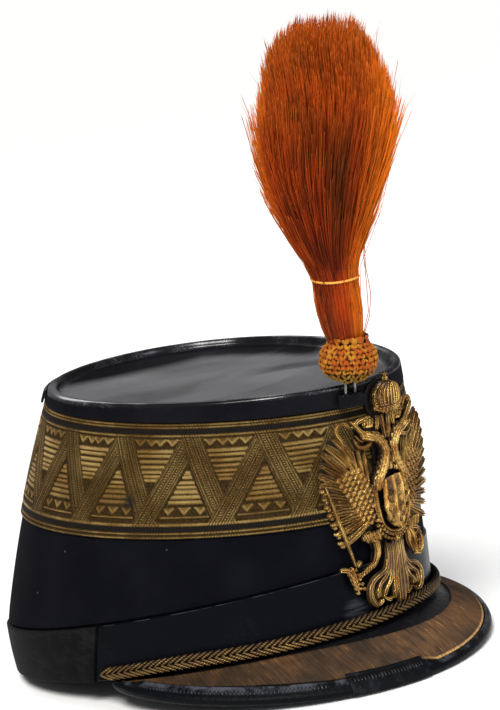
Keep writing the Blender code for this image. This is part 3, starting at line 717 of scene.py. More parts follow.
def band_corners(angle, extra, flare):
    """A band's section: its upper edge, down its face, under the wall's foot and up its back."""
    height = band_height(angle)
    inner, outer = BAND_STANDS - BAND_THICK, BAND_STANDS + extra
    corners = [(height, inner), (height + flare * 0.4, outer - 0.5 + flare),
               (height - 0.35, outer + flare)]
    corners += [(height - 1.2, outer + flare * 0.7), (height - 3, outer + flare * 0.3),
                (height * 0.7, outer)]
    corners += [(height * 0.5, outer), (height * 0.3, outer), (2.6, outer), (1.4, outer),
                (0.6, outer - 0.25)]
    corners += [(0.15, outer - 0.6), (0, outer - 1.1), (0, -2), (0, -4), (0, -6), (BAND_THICK, -6)]
    return corners + [(BAND_THICK, inner), (height * 0.5, inner)]


def rear_band(across, along):
    turn = 360 - 2 * BAND_JOINT
    degrees = BAND_JOINT + turn * across
    from_end = np.minimum(degrees - BAND_JOINT, 360 - BAND_JOINT - degrees)
    extra = (FOLD_THICK * np.clip((FOLD_ANGLE + 0.5 - from_end) / 0.5, 0, 1)
             * (0.75 + 0.25 * np.clip(from_end / 0.5, 0, 1)))
    angle = np.radians(degrees)
    flare = (WAVY_EDGE * np.clip(soft(stacked(degrees * 0.12, 0, 0), 1.0, 3) + 0.4, 0, 1)
             * (1 - np.clip(extra, 0, 1)))
    rise, stand = along_section(along, band_corners(angle, extra, flare))
    return on_floor(wall(angle, rise, stand))


def front_band(across, along):
    angle = np.radians((BAND_JOINT - 0.4) * (2 * across - 1))
    rise, stand = along_section(along, band_corners(angle, 0, 0.12))
    return on_floor(wall(angle, rise, stand))


dull = Finish("dull_leather", (0.02, 0.017, 0.016), 0.6, Specular_IOR_Level=0.03)
rubbed = dull.place.grain(0.09, 5, 0.65)
pores = dull.place.node("ShaderNodeTexVoronoi", {}, {"Vector": dull.place, "Scale": 1.5})
streaks = dull.place.stretched(0.12, 0.12, 1.6).grain(1.0, 5, 0.7)
lightened = (rubbed * 0.6 + streaks * 0.4).between(0.42, 0.66)
dull.feed(Base_Color=lightened.colour((0.004, 0.0039, 0.0041), (0.0128, 0.0124, 0.0128)))
dull.feed(Roughness=0.46 + rubbed * 0.3)
dull.bump(pores * 0.5 + streaks * 0.8, 0.3)
piece("rear_band", close_ends(laid(220, 57, rear_band, wrap=True)), dull, "base_band_rear")

glossy = Finish("glossy_leather", (0.006, 0.0065, 0.0085), 0.2, Specular_IOR_Level=0.03)
up_section = glossy.cover.part(1)
creases = glossy.place.stretched(0.05, 0.05, 0.7).grain(1.0, 5, 0.65, 0.3)
cells = glossy.place.stretched(0.09, 0.09, 0.9)
on_edge = up_section.between(0.05, 0.06) * (1 - up_section.between(0.075, 0.09))
crackle = cells.cracks(0.03) * glossy.place.grain(0.045, 3).between(0.52, 0.66)
worn_edge = on_edge * creases.between(0.47, 0.6) * 0.55
pale = (crackle * 0.7).most(worn_edge).most(creases.between(0.72, 0.76) * 0.4)
# Painted highlight: a pale patch of sheen low on the band near the badge's tail, broken up by the creases.
from_painted_gleam = glossy.place.away_from(wall(math.radians(-15.5), 9, BAND_STANDS))
painted_gleam = (1 - from_painted_gleam.between(2, 7.5)) * creases.between(0.35, 0.6)
pale = pale.most(painted_gleam * 0.42)
glossy.feed(Base_Color=(pale * 0.6).colour((0.003, 0.0033, 0.005), (0.12, 0.125, 0.14)))
glossy.feed(Roughness=0.14 + glossy.place.grain(0.06, 4) * 0.26 + pale * 0.2)
glossy.bump(creases * 0.35 - crackle * 0.3 + glossy.place.grain(0.05, 3) * 1.5, 0.5)
piece("front_band", close_ends(laid(200, 57, front_band, wrap=True)), glossy, "base_band_front")

# ---------------------------------------------------------------------------------------------------------
# Peak: thick leather, blocked to a slope and sewn on under the front band. Its edge is bound with a folded
# strip, stitched through near the strip's inner edge, and a second piece mends the binding near the front.
PEAK_THICK, BINDING_THICK, PEAK_TURN = 2.0, 0.9, 80.2
BRAID_THICK = 4.0
PATCH_FROM, PATCH_TURN, PATCH_WIDTH = -26.5, 19.5, 8.6


def binding_width(angle):
    """Broad as far as the mend, narrower beyond it, tapering up to the braid at the ends of the peak."""
    room, degrees = peak_frame(angle)[3], np.degrees(angle)
    clear = BRAID_THICK * np.clip((PEAK_END - np.abs(degrees)) / 6, 0.1, 1)
    broad = np.interp(degrees, (-PEAK_END, -45, -30, -7, -3, PEAK_END), (8, 8, 7, 7, 4.2, 4.2))
    return np.minimum(broad, np.maximum(room - clear, room * 0.6))


def peak_leather(across, along):
    """The peak's board, with a flange that goes in under the front band."""
    angle = np.radians(PEAK_TURN * (2 * across - 1))
    start, _, _, length = peak_frame(angle)
    last = np.maximum(length - BINDING_THICK - 2 * GAP, 0.2)
    rows = [(last * share, -0.12 * share) for share in (0, 0.15, 0.3, 0.45, 0.6, 0.75, 0.9, 0.97)]
    rows += [(last, -0.5), (last, -PEAK_THICK + 0.5), (last * 0.97, -PEAK_THICK)]
    rows += [(last * share, -PEAK_THICK) for share in (0.8, 0.6, 0.4, 0.2, 0)]
    under_band = [(-4.9, -PEAK_THICK), (-5.0, -PEAK_THICK + 0.2), (-5.0, -0.2), (-4.9, 0)]
    distance, height = along_section(along, rows + under_band)
    flange = start + outward(angle) * distance[:, None] + np.array((0, 0, 1)) * height[:, None]
    return np.where((distance < 0)[:, None], flange, on_peak(angle, np.maximum(distance, 0), height))


peak_patent = Finish("peak_leather", (0.006, 0.006, 0.0075), 0.3, Specular_IOR_Level=0.1)
peak_wear = peak_patent.place.grain(0.07, 4, 0.6)
cells = peak_patent.place.stretched(0.3, 0.9, 0.5)
splits = cells.cracks(0.05) * peak_wear.between(0.45, 0.6)
peak_patent.feed(Base_Color=(splits * 0.5).colour((0.005, 0.005, 0.0065), (0.05, 0.05, 0.055)))
peak_patent.feed(Roughness=0.2 + peak_wear * 0.28)
peak_patent.bump(peak_patent.place.grain(0.3, 4) - splits * 0.4, 0.5)
piece("peak_board", close_ends(laid(170, 19, peak_leather, wrap=True)), peak_patent, "peak")


def binding(across, along):
    """The strip in one section: over the peak, round its edge, and back below it."""
    angle = np.radians(PEAK_TURN * (2 * across - 1))
    width, length = binding_width(angle), peak_frame(angle)[3]
    thin = np.clip((PEAK_END - np.abs(np.degrees(angle))) / 6, 0.25, 1)
    top, low = GAP + BINDING_THICK * thin, -PEAK_THICK
    stitched = 0.22 * thin
    rows = [(length - width, GAP), (length - width, top * 0.7), (length - width + 0.35, top)]
    rows += [(length - width * 0.85, top), (length - width * 0.81, top - stitched),
             (length - width * 0.76, top)]
    rows += [(length - width * 0.55, top + 0.08), (length - width * 0.35, top), (length - 1.7, top - 0.05)]
    rows += [(length - 0.9, top - 0.25), (length - 0.35, top - 0.65), (length - 0.05, low / 2 + 0.3)]
    rows += [(length - 0.05, low / 2 - 0.2), (length - 0.3, low - 0.1), (length - 0.8, low - 0.7 * thin)]
    rows += [(length - 1.6, low - GAP - 0.9 * thin), (length - width * 0.5, low - GAP - 0.9 * thin)]
    rows += [(length - width, low - GAP - 0.9 * thin), (length - width, low - GAP)]
    turn = np.maximum(length - BINDING_THICK - GAP, length - width)
    rows += [(turn, low - GAP), (turn, GAP)]
    distance, height = along_section(along, rows)
    return on_floor(on_peak(angle, np.maximum(distance, 0), height))


edging = Finish("binding_leather", (0.006, 0.0065, 0.008), 0.32, Specular_IOR_Level=0.05)
sheen_patches = edging.place.grain(0.11, 5, 0.65)
wrinkle = edging.place.stretched(0.5, 0.5, 0.5).grain(1.0, 5, 0.7)
section = edging.cover.part(1)
# Painted sheen: a lighter grey-blue band on the upper face near the strip's inner edge, in patches.
sheen = sheen_patches.between(0.42, 0.62) * section.between(0.02, 0.1) * (1 - section.between(0.24, 0.34))
edging.feed(Base_Color=sheen.colour((0.003, 0.0033, 0.0045), (0.055, 0.058, 0.072)))
edging.feed(Roughness=0.2 + wrinkle * 0.3)
edging.bump(wrinkle, 0.4)
piece("binding", close_ends(laid(240, 62, binding, wrap=True)), edging, "peak_binding")


def patch(across, along):
    angle = np.radians(PATCH_FROM + PATCH_TURN * across)
    length = peak_frame(angle)[3]
    inner = 2 * GAP + BINDING_THICK
    top = inner + 0.7 * np.clip(np.minimum(across, 1 - across) * 30, 0.5, 1)
    rows = [(length - PATCH_WIDTH, inner), (length - PATCH_WIDTH, top - 0.2)]
    rows += [(length - 8.3, top), (length - 7.4, top)]
    rows += [(length - 7.0, top - 0.25), (length - 6.6, top), (length - 4, top + 0.1),
             (length - 2, top - 0.05)]
    rows += [(length - 0.9, top - 0.25), (length - 0.1, top - 0.8), (length + 0.5, 0.3),
             (length + 0.7, -0.3)]
    rows += [(length + GAP, -0.4), (length + GAP, 0.2), (length - 0.8, inner - 0.2), (length - 1.4, inner)]
    distance, height = along_section(along, rows)
    return on_peak(angle, distance, height)


mend = Finish("patch_leather", (0.007, 0.0075, 0.009), 0.36, Specular_IOR_Level=0.06)
mend_wear = mend.place.grain(0.2, 5, 0.65)
mend.feed(Base_Color=mend_wear.between(0.5, 0.72).colour((0.0035, 0.004, 0.005), (0.014, 0.014, 0.017)))
mend.feed(Roughness=0.26 + mend_wear * 0.3)
mend.bump(mend.place.grain(0.7, 5), 0.4)
piece("patch", close_ends(laid(60, 32, patch, wrap=True)), mend, "binding_patch")

# Stitches: close rows of dark waxed thread that cross the binding, pulled down into the leather.
STITCH_STEP, STITCH_LENGTH, STITCH_RADIUS = 1.5, 2.5, 0.27
SEAM_RADIUS = 110


def stitch(bm, angle, inset, height):
    """One thread across the binding, dipping into the leather at both ends."""
    share = np.array((-1, -0.7, 0, 0.7, 1))
    turn = np.full(5, angle)
    length = peak_frame(turn)[3]
    spine = on_peak(turn, length - inset + share * STITCH_LENGTH / 2, height - 0.45 * share ** 4)
    made = bmesh.ops.create_grid(bm, x_segments=4, y_segments=6, size=0.5)["verts"]
    lift = peak_frame(turn)[2][2]
    side = np.cross(lift, spine[4] - spine[0])
    side /= np.linalg.norm(side)
    for vert in made:
        column, roll = round((vert.co.x + 0.5) * 4), (vert.co.y + 0.5) * FULL_TURN
        radius = STITCH_RADIUS * (0.55 if column in (0, 4) else 1)
        vert.co = spine[column] + (side * math.cos(roll) + lift * math.sin(roll)) * radius


def stitched(bm, first, last, inset, height):
    """A row of stitches between two angles, inset from the peak's edge."""
    first, last = math.radians(first), math.radians(last)
    count = int((last - first) * SEAM_RADIUS / STITCH_STEP)
    for number in range(count):
        angle = first + (last - first) * (number + 0.5) / count
        stitch(bm, angle, inset, height)


bm = bmesh.new()
stitched(bm, -70, -31, 4.4, GAP + BINDING_THICK + 0.12)
stitched(bm, -25.6, -8, 4.6, 2 * GAP + BINDING_THICK + 0.78)
bmesh.ops.remove_doubles(bm, verts=bm.verts, dist=0.001)
waxed = Finish("waxed_thread", (0.03, 0.03, 0.032), 0.35)
waxed_wear = waxed.place.grain(0.4, 4)
waxed.feed(Base_Color=waxed_wear.between(0.5, 0.7).colour((0.003, 0.003, 0.0035), (0.04, 0.038, 0.036)))
waxed.bump(waxed.place.grain(6, 3), 0.1)
piece("stitches", close_ends(bm), waxed, slot=slot_of["peak_binding"])

# Bullion: gold-wrapped threads laid side by side over the peak, nearer front to back than square to its
# edge, darkened and worn; a crescent of leather is bare between them and the braid.
BULLION_TURN, THREAD_STEP, THREADS_EVEN_AT = 72.5, 0.72, 12.0
BARE_MIDDLE, BARE_HALF_TURN, BARE_WIDTH = 14, 58, 6.4
BULLION_ROWS = 16


def bare_width(angle):
    """How wide the bare crescent of leather is."""
    turn = (np.degrees(angle) - BARE_MIDDLE) / BARE_HALF_TURN
    return BARE_WIDTH * np.cos(np.clip(turn, -1, 1) * math.pi / 2) ** 2


bullion_angle = np.radians(np.linspace(-BULLION_TURN, BULLION_TURN, 1201))
bullion_way = way_along(on_peak(bullion_angle, np.full(1201, THREADS_EVEN_AT), np.zeros(1201)))
THREADS = int(bullion_way[-1] / THREAD_STEP)
thread_lift = np.random.default_rng(5).uniform(-0.10, 0.10, THREADS + 1)
thread_end = np.random.default_rng(6).uniform(-0.15, 0.2, THREADS + 1)


def bullion(across, along):
    """All threads in one grid, four columns to a thread, round above and flat below."""
    column = across * THREADS
    thread = np.minimum(column.astype(int), THREADS - 1)
    angle = np.interp(across * bullion_way[-1], bullion_way, bullion_angle)
    length = peak_frame(angle)[3]
    first = BRAID_THICK - 1.4 + bare_width(angle) * 1.1 + thread_end[thread]
    last = length - binding_width(angle) - GAP
    first = np.minimum(first, last - 0.3)
    row = np.clip((along * BULLION_ROWS - 1) / (BULLION_ROWS - 2), 0, 1)
    under = (along < 0.04) | (along > 0.96)
    distance = first + (last - first) * row
    normal = np.arctan2(outward(angle)[:, 0], -outward(angle)[:, 1])
    shift = (distance - THREADS_EVEN_AT) * np.tan(0.55 * normal) / (BASE_LENGTH / 2)
    turn = np.clip(angle - shift, -math.radians(78), math.radians(78))
    roundness = np.sqrt(np.clip(1 - (2 * (column - thread) - 1) ** 2, 0, 1))
    ends = np.clip(np.minimum(row, 1 - row) * 12, 0, 1)
    top = GAP + 0.35 + (0.42 * roundness + thread_lift[thread]) * (0.5 + 0.5 * ends)
    reach = np.minimum(distance, peak_frame(turn)[3] - binding_width(turn) - GAP)
    return on_peak(turn, np.maximum(reach, 0.5), np.where(under, GAP, top))


gilt_thread = Finish("bullion_thread", (0.1, 0.05, 0.018), 0.5, Metallic=0.5, Specular_IOR_Level=0.1)
thread_way = gilt_thread.cover.part(0) * THREADS
mixed = gilt_thread.cover.stretched(THREADS / 2.2, 2.2, 1).grain(1.0, 2, 0.6)
fine = gilt_thread.cover.stretched(THREADS / 0.62, 1.7, 1).grain(1.0, 2, 0.6)
wrap = (gilt_thread.cover.part(1) * 150 + thread_way).sine() * 0.5 + 0.5
dark = gilt_thread.place.grain(0.03, 4, 0.6)
glow = (mixed * 0.5 + fine * 0.5 + dark * 0.6 - 0.5).between(0.08, 0.62) * (0.75 + wrap * 0.25)
# Painted shade: the threads on the wearer's left half of the peak are darker.
glow = glow * (1 - gilt_thread.cover.part(0).between(0.44, 0.56) * 0.5)
rubbed_bright = (fine + dark * 0.35).between(0.84, 0.92) * 0.6
down_peak = gilt_thread.cover.part(1)
outer_edge = down_peak.between(0.875, 0.9) * (1 - down_peak.between(0.93, 0.94))
outer_edge = outer_edge * gilt_thread.cover.part(0).between(0.45, 0.49) * (mixed * 2 - 0.35)
rubbed_bright = rubbed_bright.most(outer_edge.least(1))
browned = dark.between(0.35, 0.65).colour((0.085, 0.058, 0.036), (0.27, 0.125, 0.045))
plain = glow.colour((0.028, 0.018, 0.012), browned)
gilt_thread.feed(Base_Color=(rubbed_bright * 0.85).colour(plain, (0.6, 0.36, 0.13)))
gilt_thread.feed(Metallic=glow * 0.4 + rubbed_bright * 0.4, Roughness=0.55 - glow * 0.15)
gilt_thread.bump(wrap * 0.4 + mixed, 0.2)
bm = laid(THREADS * 4, BULLION_ROWS, bullion, wrap=True)
piece("bullion", close_ends(bm), gilt_thread, "peak_bullion", sharp=75)

# ---------------------------------------------------------------------------------------------------------
# Braid: a flat plait of two rows of gold-brown cords that meet in chevrons pointing to the wearer's right,
# laid over a core and sewn along the seam between band and peak; its cut ends are rolled under. The
# core is near-black, as painted shade where it shows between the cords.
BRAID_TURN, BRAID_HEIGHT, CORD_STEP = 83.0, 7.6, 3.0
# Where it is pulled up on the wall: how far, and the middle and half length of that stretch of seam.
PULLED_UP = ((1.3, 14, 22), (1.2, -104, 26))


def along_seam(way):
    """The angle at each way along the seam."""
    return np.interp(way, seam_way, seam_angle)


seam_angle = np.radians(np.linspace(-BRAID_TURN, BRAID_TURN, 1501))
seam_way = way_along(wall(seam_angle, 4, 3))
seam_way -= seam_way[-1] / 2


def braid_surface(way, height, proud):
    """Places on the plait: height from -1 at its lower edge to 1, proud outwards from its back."""
    raised = sum(rise * np.exp(-((way - middle) / half) ** 2) for rise, middle, half in PULLED_UP)
    return wall(along_seam(way), GAP + BRAID_HEIGHT / 2 * (1 + height) + raised, BAND_STANDS + GAP + proud)


def braid_core(across, along):
    way = seam_way[0] + (seam_way[-1] - seam_way[0]) * across
    roll = along * FULL_TURN
    return braid_surface(way, -0.04 + 0.76 * np.sin(roll), BRAID_THICK * (0.34 + 0.32 * np.cos(roll)))


# The core's near-black colour is painted shade between the cords.
core_thread = Finish("braid_core", (0.005, 0.004, 0.0035), 0.9, Specular_IOR_Level=0.02)
core_thread.bump(core_thread.place.grain(2, 4), 0.3)
piece("braid_core", close_ends(laid(150, 14, braid_core, wrap=True)), core_thread, slot=slot_of["braid"])


def braid_cord(bm, foot, upper, size, seed):
    """One cord of the plait, from the middle line out to the edge and further along."""
    made, t, around = grid(bm, 9, 8)
    roll = around * FULL_TURN
    lean = 5.0 if upper else 7.0
    way = foot - 0.6 + lean * t + seed * 0.15
    height = -0.1 + 0.84 * t ** 0.85 if upper else -0.86 * t
    thick = size * np.sin(np.clip(t * 0.92 + 0.04, 0, 1) * math.pi) ** 0.55
    back_off = 0.52 * np.abs(height) ** 2.2 if upper else 0.16 * np.abs(height) ** 2.2
    proud = BRAID_THICK * (0.93 - back_off) - 0.7 + 0.66 * thick * np.sin(roll)
    side = (0.86 if upper else 0.7) * thick * np.cos(roll)
    spots = braid_surface(way + side * 0.56, height - side * (0.22 if upper else -0.22), proud)
    row = bm.verts.layers.float["upper"]
    for vert, spot in zip(made, spots):
        vert.co, vert[row] = spot, upper


bm = bmesh.new()
bm.loops.layers.uv.new("cover")
bm.verts.layers.float.new("upper")
shuffled = random.Random(3)
for number in range(int((seam_way[-1] - seam_way[0] - 4) / CORD_STEP)):
    for upper in (True, False):
        way = seam_way[0] + 1.2 + number * CORD_STEP
        braid_cord(bm, way, upper, 1.0 + shuffled.uniform(-0.06, 0.06), shuffled.uniform(-1, 1))
bmesh.ops.remove_doubles(bm, verts=bm.verts, dist=0.001)
cord = Finish("gold_cord", (0.3, 0.17, 0.06), 0.45, Metallic=0.6, Specular_IOR_Level=0.1)
lay = (cord.cover.part(0) * 36 + cord.cover.part(1) * 12).sine() * 0.5 + 0.5
rubbed = cord.place.grain(0.35, 4, 0.6)
browner = cord.place.grain(0.05, 3)
# Painted highlight and shade: gold crests and dark flanks, over real rubbing; the upper row is made
# darker.
crest = cord.cover.part(1).between(0.06, 0.2) * (1 - cord.cover.part(1).between(0.3, 0.46))
worn = (lay * 0.3 + rubbed * 0.7 + crest * 0.7 - 0.64 - cord.attribute("upper") * 0.14).between(0.1, 0.82)
gold = browner.colour((0.165, 0.087, 0.028), (0.34, 0.215, 0.078))
cord.feed(Base_Color=worn.colour((0.014, 0.008, 0.004), gold))
cord.feed(Metallic=worn * 0.7, Roughness=0.6 - worn * 0.25)
cord.bump(lay + rubbed * 0.5, 0.16)
piece("plait", bm, cord, "braid", sharp=80)

# ---------------------------------------------------------------------------------------------------------
# Badge: a two-headed eagle under a closed crown, cast thin in brass with deep openwork, chased, gilt and
# bent to the crown's curve. It stands a little clear of the lace on hidden wire loops. All of it is laid
# out flat in millimetres, sideways and up from the foot of the wall, and then bent.
BADGE_RADIUS, BADGE_CLEAR, BADGE_ASIDE = 78, 2.0, -1.0

wall_foot, wall_rim = (spot[0] for spot in crown_edges(np.zeros(1)))
badge_up = (wall_rim - wall_foot) / np.linalg.norm(wall_rim - wall_foot)
badge_front = np.array((0, -badge_up[2], badge_up[1]))


def on_badge(spots):
    """Places given as sideways, up and out from the badge's back, in the hat's own millimetres."""
    turn = ((spots[:, 0] + BADGE_ASIDE) / BADGE_RADIUS)[:, None]
    axis = wall_foot + badge_up * spots[:, 1:2] + badge_front * (BADGE_CLEAR - BADGE_RADIUS)
    aim = badge_front * np.cos(turn) + np.array((1, 0, 0)) * np.sin(turn)
    return axis + aim * (BADGE_RADIUS + spots[:, 2:3])


def through(path, shares):
    """Points at even shares of a smooth line through the given ones."""
    path = np.array(path, float)
    ends = np.vstack((2 * path[0] - path[1], path, 2 * path[-1] - path[-2]))
    place = np.clip(shares, 0, 1) * (len(path) - 1)
    low = np.minimum(place.astype(int), len(path) - 2)
    t = (place - low)[:, None]
    a, b, c, d = (ends[low + step] for step in range(4))
    return 0.5 * (2 * b + (c - a) * t + (2 * a - 5 * b + 4 * c - d) * t ** 2
                  + (3 * b - a - 3 * c + d) * t ** 3)


def modelled(made, spots, crests):
    """Moves vertices of the badge, and gives each how far it stands out in the relief."""
    relief = badge.verts.layers.float["relief"]
    moved(made, spots)
    for vert, crest in zip(made, crests):
        vert[relief] = crest


def strand(path, half_widths, height, lift=1.2, columns=10, rows=8, rubbed=1.0):
    """A half-round bar along a line on the badge, pinched shut at its ends and sunk into the ground."""
    made, t, around = grid(badge, columns, rows)
    roll = around * FULL_TURN
    inner = 0.5 - 0.5 * np.cos(t * math.pi)
    spine = through(path, inner)
    ahead = through(path, inner + 0.01) - through(path, inner - 0.01)
    ahead /= np.linalg.norm(ahead, axis=1)[:, None]
    half = np.interp(inner, np.linspace(0, 1, len(half_widths)), half_widths)
    shut = np.sin(np.clip(t, 0, 1) * math.pi) ** 0.35
    shut[(t < 0.001) | (t > 0.999)] = 0
    side = np.cos(roll) * half * shut
    rise = np.maximum(np.sin(roll), 0) * height + np.minimum(np.sin(roll), 0) * (lift - 0.5)
    spots = np.stack((spine[:, 0] - ahead[:, 1] * side, spine[:, 1] + ahead[:, 0] * side,
                      lift + rise * shut), axis=1)
    # Its relief number is high on its top, lower on its flanks and ends, and scaled by rubbed; the finish
    # shades the low parts.
    crest = np.clip(0.3 + 0.7 * np.sin(roll), 0, 1) * (0.35 + 0.65 * shut) * rubbed
    modelled(made, spots, crest)


def bead(place, half_across, half_up, height, lift=1.4):
    """A small upright bead."""
    path = [(place[0], place[1] - half_up), (place[0], place[1] + half_up)]
    strand(path, (half_across, half_across), height, lift, columns=6, rows=8)


def mirrored(path):
    return [(-across, up) for across, up in path]


def on_both_sides(path, half_widths, height, lift=1.2, **more):
    strand(path, half_widths, height, lift, **more)
    strand(mirrored(path), half_widths, height, lift, **more)


badge = bmesh.new()
badge.verts.layers.float.new("relief")
badge.loops.layers.uv.new("cover")

# Ground plate, pierced between the necks and cut away between neck and wing and round the legs.
PLATE = (
    (0, 105), (5.2, 103.4), (8.0, 100), (7.4, 94.5), (6, 91), (9.5, 88.5), (14.2, 87.6), (15, 85.4),
    (12.8, 84), (12.4, 80.8), (9, 80.4), (6.4, 77), (5.6, 72), (6.4, 66.5), (8.6, 62.6), (10.6, 63.6),
    (11.4, 70), (13, 77), (17, 78), (20.5, 80), (23.5, 84.6), (27, 84.6), (29.4, 82.6), (31.2, 78),
    (32.4, 72), (33, 65), (32.4, 58), (30.8, 50), (28.8, 43.5), (26, 39), (21, 41), (16, 43),
    (12, 43.6), (15.8, 40.4), (13, 37.4), (11.4, 33), (12.6, 27.6), (10.6, 27), (8.8, 33), (6.4, 35),
    (5, 29), (6, 23.4), (11.8, 21.6), (15, 18.5), (15.6, 14.5), (13.8, 11), (11.2, 11), (12.6, 13.6),
    (11, 16.5), (8, 17.5), (4.6, 20), (3, 12), (0, 9),
)
outline = list(PLATE) + mirrored(reversed(PLATE[1:-1]))
hole_turns = np.linspace(0, FULL_TURN, 10, endpoint=False)
hole = [(1.4 * math.sin(turn), 79 + 5 * math.cos(turn)) for turn in hole_turns]
for ring in (outline, hole):
    corners = [badge.verts.new((across, up, 0.3)) for across, up in ring]
    for first, second in zip(corners, corners[1:] + corners[:1]):
        badge.edges.new((first, second))
bmesh.ops.triangle_fill(badge, edges=badge.edges[:], use_beauty=True)
for place in range(-30, 31, 6):
    bmesh.ops.bisect_plane(badge, geom=badge.verts[:] + badge.edges[:] + badge.faces[:], dist=0.01,
                           plane_co=(place, 0, 0), plane_no=(1, 0, 0))
bmesh.ops.solidify(badge, geom=badge.faces[:], thickness=-1.3)

# Wings: long quilled feathers that fan out from the shoulder, broad ribbed ones below, upright blades by
# the neck and rows of small round scales over their roots.
LONG_FEATHERS = (
    # tip, middle, root
    ((-27.3, 86.3), (-21.8, 80.8), (-16.9, 72.2)), ((-30.6, 83.4), (-24.9, 78.0), (-19.6, 71.4)),
    ((-32.4, 80.2), (-26.7, 74.5), (-20.7, 68.7)), ((-33.6, 75.8), (-27.3, 71.1), (-20.5, 66.1)),
    ((-34.4, 71.2), (-28.8, 67.6), (-22.0, 64.2)), ((-34.6, 66.6), (-29.1, 64.7), (-22.6, 61.6)),
    ((-34.4, 62.0), (-29.0, 60.6), (-22.0, 58.2)), ((-33.6, 57.4), (-28.0, 57.2), (-20.8, 55.4)),
)
BROAD_FEATHERS = (
    ((-32.9, 53.0), (-26.0, 53.6), (-18.0, 52.8)), ((-31.4, 48.4), (-24.0, 50.0), (-16.2, 51.0)),
    ((-29.8, 43.6), (-22.0, 46.4), (-14.2, 49.0)), ((-27.4, 38.6), (-20.0, 42.6), (-12.0, 47.2)),
)
for feather in LONG_FEATHERS:
    on_both_sides(feather, (1.5, 2.1, 1.7), 0.8, 1.1, rubbed=0.55)
    on_both_sides(feather, (0.3, 0.5, 0.5), 1.1, 1.9, columns=9, rows=6)
    for aside in (-1.15, 1.15):
        vein = [(across, up + aside * share) for (across, up), share in zip(feather, (0.7, 1, 0.8))]
        on_both_sides(vein, (0.25, 0.38, 0.35), 1.0, 1.5, columns=9, rows=6)
for feather in BROAD_FEATHERS:
    on_both_sides(feather, (1.4, 2.1, 1.9), 0.8, 1.1, rubbed=0.5)
    for aside in (-1.35, 0, 1.35):
        vein = [(across, up + aside * share) for (across, up), share in zip(feather, (0.6, 1, 0.8))]
        on_both_sides(vein, (0.35, 0.5, 0.45), 1.3, 1.9 - 0.3 * abs(aside), columns=9, rows=6)
BLADES = (
    ((-14.9, 61.5), (-16.8, 70.0), (-18.6, 79.0)), ((-13.0, 62.5), (-14.3, 70.2), (-15.6, 79.4)),
    ((-11.6, 62.6), (-12.0, 69.6), (-12.6, 78.2)), ((-17.0, 66.0), (-20.4, 74.0), (-23.4, 82.6)),
)
for blade in BLADES:
    on_both_sides(blade, (0.7, 0.95, 0.4), 1.5, 1.1)
    on_both_sides(blade, (0.25, 0.3, 0.2), 0.7, 2.4, columns=8, rows=6)
for row in range(5):
    for place in range(10):
        across = -26.2 + place * 1.3 + row * 2.1 + (0.65 if row % 2 else 0)
        up = 67.5 - place * 2.35 + row * 1.15 - (1.1 if row % 2 else 0)
        if across < -9.8 and 45.5 < up < 71:
            tip = (across - 1.3, up - 1.1)
            on_both_sides((tip, (across + 1.0, up + 0.8)), (1.05, 0.95), 1.5, 1.6 + row * 0.14, columns=6)
for number in range(15):
    share = number / 14
    place = (-9.7 + 1.4 * share ** 2, 61.6 - 15.6 * share)
    for side in (-1, 1):
        bead((place[0] * -side, place[1]), 1.15, 0.5, 1.6, 3.2)

# Necks, heads with open beaks, and a small crown over each.
NECK = ((-10.4, 83.6), (-5.6, 81.4), (-2.6, 75.4), (-4.2, 69.4), (-7.4, 64.0), (-8.6, 59.0))
UPPER_BEAK = ((-8.6, 83.0), (-13.4, 85.2), (-16.2, 88.6), (-19.2, 91.6))
LOWER_BEAK = ((-8.8, 80.2), (-12.8, 78.9), (-16.4, 80.2), (-18.0, 83.8))
on_both_sides(NECK, (2.0, 2.2, 1.9, 1.9, 2.4, 2.8), 2.7, 3.6, columns=18, rows=10)
for row in range(4):
    for number in range(11):
        middle, ahead = through(NECK, np.array((0.06, 0.1)) + number * 0.082 + (0.041 if row % 2 else 0))
        lean = (ahead - middle) / np.linalg.norm(ahead - middle)
        place = middle + np.array((lean[1], -lean[0])) * (row - 1.5) * 1.05
        top = 5.5 if row in (1, 2) else 4.8
        on_both_sides((tuple(place - lean), tuple(place + lean * 0.8)), (0.6, 0.45), 0.9,
                      top, columns=5, rows=6)
on_both_sides(((-8.0, 81.4), (-11.4, 83.6), (-14.6, 84.0)), (1.8, 2.3, 1.5), 2.5, 3.6)
on_both_sides(UPPER_BEAK, (1.5, 1.1, 0.7, 0.35), 1.8, 3.4)
on_both_sides(LOWER_BEAK, (1.4, 0.9, 0.65, 0.35), 1.5, 3.2)
on_both_sides(((-12.6, 81.6), (-15.2, 82.4), (-17.2, 85.2)), (0.5, 0.45, 0.2), 1.2, 3.2, columns=6, rows=6)
for side in (-1, 1):
    bead((side * 13.2, 84.4), 0.7, 0.7, 0.9, 5.6)
    bead((side * 9.0, 87.2), 2.7, 0.75, 1.9, 2.2)
    for across, up in ((6.9, 89.4), (8.3, 90.6), (9.7, 90.8), (11.2, 89.6)):
        strand(((side * across, 87.4), (side * across, up)), (0.75, 0.55), 1.7, 2.0, columns=6, rows=8)
        bead((side * across, up + 0.4), 0.5, 0.5, 0.9, 2.6)

# Great crown: a fluted cap rising from a jewelled circlet, with a ball and a cross on top.
CROWN_ASIDE, CROWN_FOOT, CROWN_HEIGHT = 2.7, 93.2, 11.2
